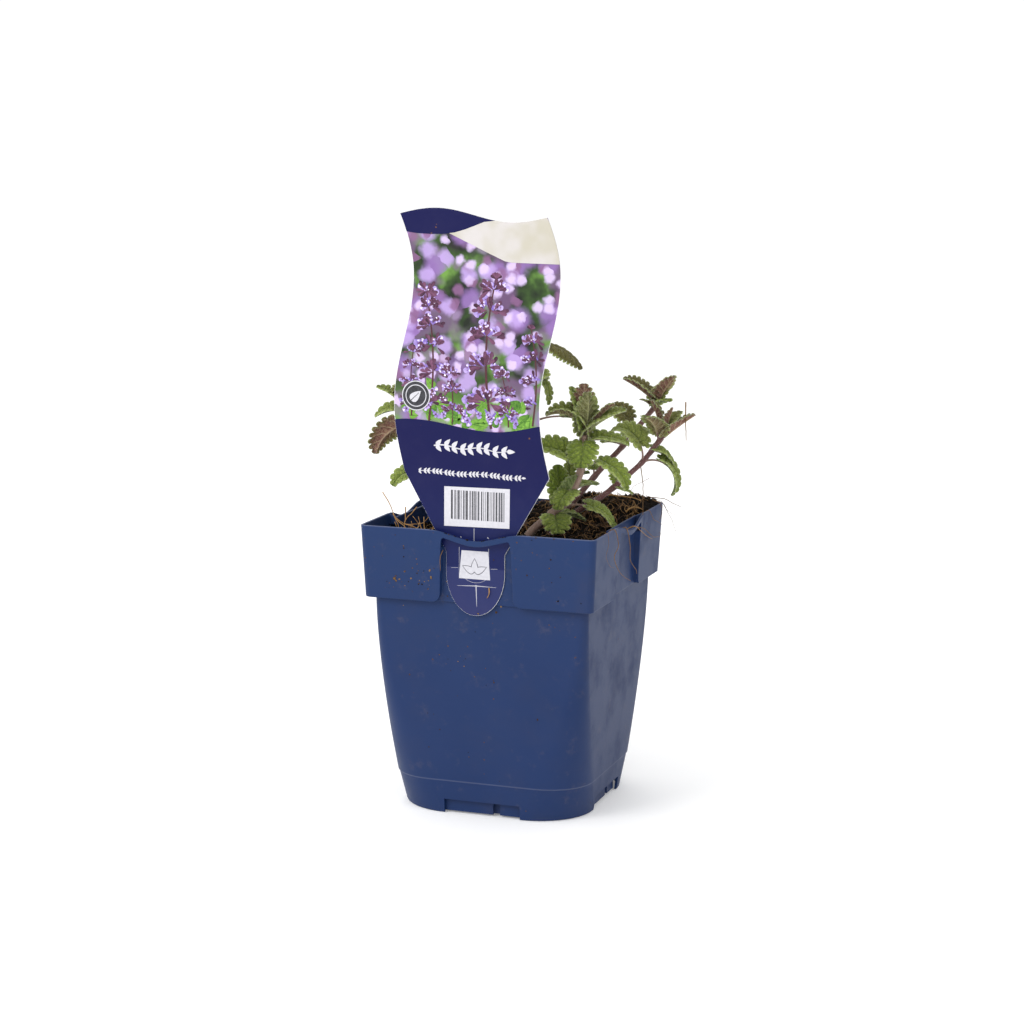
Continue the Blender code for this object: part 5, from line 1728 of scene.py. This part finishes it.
def build_plain_marks():
    """Two rows of white leaves, a panel of plain bars, a round seal with a leaf, and a patch with three."""
    marks = Picture()
    for sprig in SPRIGS:
        draw_sprig(marks, *sprig)
    marks.patch(PANEL, 9, WHITE_MARK, 0.8)
    rng = np.random.default_rng(17)
    x = BARS_FROM_X
    while x < BARS_TO_X:
        wide = BAR_UNIT * rng.integers(1, 4)
        bar = [(x, BARS_LOW_Z), (x + wide, BARS_LOW_Z), (x + wide, BARS_HIGH_Z), (x, BARS_HIGH_Z)]
        marks.patch(bar, 10, DARK_MARK, rng.uniform(0.0, 1.0))
        x += wide + BAR_UNIT * rng.integers(1, 4)
    for inset, layer, ink in SEAL_RINGS:
        radius = SEAL_RADIUS - inset
        marks.patch(oval(*SEAL, radius, radius, 0.0, 40), layer, ink, 0.2 + 0.6 * (ink == WHITE_MARK))
    marks.patch(drawn(LEAF_FORM, SEAL[0] - 2.4, SEAL[1] - 2.2, 6.4, 4.2, 0.75), 12, WHITE_MARK, 0.8)
    rib = [(SEAL[0] - 2.9, SEAL[1] - 2.7), (SEAL[0] + 1.4, SEAL[1] + 1.3)]
    marks.patch(ribbon(rib, 0.35, 0.2), 13, DARK_MARK, 0.1)
    marks.patch(PATCH, 9, WHITE_MARK, 0.55)
    for angle in (0.45, 1.57, 2.69):
        x, z = MOTIF_FOOT
        marks.patch(drawn(LEAF_FORM, x, z, 6.4, 3.6, angle), 10, DARK_MARK, 0.9)
        inner = drawn(LEAF_FORM, x + 0.3 * math.cos(angle), z + 0.3 * math.sin(angle), 5.7, 2.9, angle)
        marks.patch(inner, 11, WHITE_MARK, 0.6)
    draw_creases(marks)
    marks.lay("label_plain_marks", *(printed_ink(*ink) for ink in MARK_INKS))


def draw_sprig(marks, x0, z0, x1, z1, leaf, pairs):
    """A waved stalk with pairs of small leaves along it."""
    share = np.linspace(0, 1, 60)
    wave = 0.16 * leaf * np.sin(share * 4 * math.pi)
    line = np.stack([x0 + (x1 - x0) * share, z0 + (z1 - z0) * share + wave], 1)
    marks.patch(ribbon(line, 0.16 * leaf, 0.10 * leaf), 9, WHITE_MARK, 0.9)
    for k in range(pairs):
        at = int(59 * (k + 0.4) / pairs)
        for side in (-1, 1):
            marks.patch(drawn(LEAF_FORM, *line[at], leaf, 0.55 * leaf, side * 0.85), 10, WHITE_MARK, 0.9)
    marks.patch(drawn(LEAF_FORM, *line[-1], leaf, 0.55 * leaf, 0.0), 10, WHITE_MARK, 0.9)


# White stress lines where the tongue was bent: points and widths at both ends
CREASES = (((-9.5, 106.6), (-0.6, 107.0), 0.10, 0.40), ((-0.6, 107.0), (8.8, 106.9), 0.40, 0.10),
           ((-0.6, 107.4), (-0.2, 97.7), 0.50, 0.12), ((-1.6, 132.6), (-1.6, 127.1), 0.25, 0.20),
           ((-8.5, 124.0), (-8.5, 110.0), 0.14, 0.10), ((5.2, 124.0), (5.4, 117.5), 0.18, 0.12),
           ((-12.2, 114.5), (-9.0, 114.7), 0.12, 0.12), ((6.2, 115.0), (9.4, 115.2), 0.16, 0.12),
           ((4.6, 129.0), (5.3, 128.5), 0.5, 0.3), ((-7.9, 128.7), (-7.5, 128.2), 0.35, 0.2))


def draw_creases(marks):
    """The stress lines, and one round one at the patch."""
    for start, end, width0, width1 in CREASES:
        marks.patch(ribbon(straight(start, end), width0, width1), 9, WHITE_MARK, 0.1)
    arc = [(-0.9 + 6.6 * math.cos(a), 113.6 - 5.2 * math.sin(a))
           for a in np.linspace(0.15, math.pi - 0.15, 20)]
    marks.patch(ribbon(arc, 0.12, 0.12), 9, WHITE_MARK, 0.0)


# Studio

def build_studio():
    """A pale floor, soft light from all round and three softboxes, and the camera."""
    mesh = bpy.data.meshes.new("floor")
    corners = [(x, y, FLOOR_DROP) for x, y in ((-1, -1), (1, -1), (1, 1), (-1, 1))]
    points = [(x * FLOOR_HALF * MM, y * FLOOR_HALF * MM, z * MM) for x, y, z in corners]
    mesh.from_pydata(points, [], [(0, 1, 2, 3)])
    floor = bpy.data.objects.new("floor", mesh)
    bpy.context.scene.collection.objects.link(floor)
    material, tree, shader = new_material("pale_floor")
    feed(tree, shader, ("Base Color", (0.86, 0.86, 0.86)), ("Roughness", 0.7), ("Specular IOR Level", 0.2),
         ("Emission Color", (1, 1, 1)), ("Emission Strength", 0.2))
    mesh.materials.append(material)

    world = bpy.data.worlds.new("studio")
    world.use_nodes = True
    tree = world.node_tree
    seen = put(tree, "ShaderNodeLightPath").outputs["Is Camera Ray"]
    way = put(tree, "ShaderNodeTexCoord").outputs["Generated"]
    facing = put(tree, "ShaderNodeVectorMath", ((0, way), (1, BRIGHT_SIDE)),
                 operation="DOT_PRODUCT").outputs["Value"]
    light = plus(tree, times(tree, fade(tree, facing, -0.7, 0.9), 0.75), 0.42)
    strength = calc(tree, "MAXIMUM", times(tree, seen, 1.05), light)
    feed(tree, tree.nodes["Background"], ("Color", (1, 1, 1)), ("Strength", strength))
    bpy.context.scene.world = world

    for name, place, target, size, watts in SOFTBOXES:
        light = bpy.data.lights.new(name, "AREA")
        light.size = size * MM
        light.energy = watts
        lamp = bpy.data.objects.new(name, light)
        bpy.context.scene.collection.objects.link(lamp)
        way = np.array(target, float) - np.array(place, float)
        yaw = math.atan2(-way[0], way[1])
        pitch = math.atan2(way[2], math.hypot(way[0], way[1]))
        lamp.matrix_world = (Matrix.Translation([v * MM for v in place]) @ Matrix.Rotation(yaw, 4, "Z")
                             @ Matrix.Rotation(math.pi / 2 + pitch, 4, "X"))

    camera_data = bpy.data.cameras.new("camera")
    camera_data.angle = math.radians(VIEW_ANGLE)
    camera = bpy.data.objects.new("camera", camera_data)
    bpy.context.scene.collection.objects.link(camera)
    camera.matrix_world = (Matrix.Translation([v * MM for v in CAMERA_PLACE])
                           @ Matrix.Rotation(math.radians(-CAMERA_YAW), 4, "Z")
                           @ Matrix.Rotation(math.radians(90 + CAMERA_PITCH), 4, "X")
                           @ Matrix.Rotation(math.radians(CAMERA_ROLL), 4, "Z"))
    bpy.context.scene.camera = camera
    bpy.context.scene.view_settings.view_transform = "Standard"


build_studio()
build_pot()
build_soil()
build_crumbs()
build_fibres()
build_strands()
build_plants()
build_label()
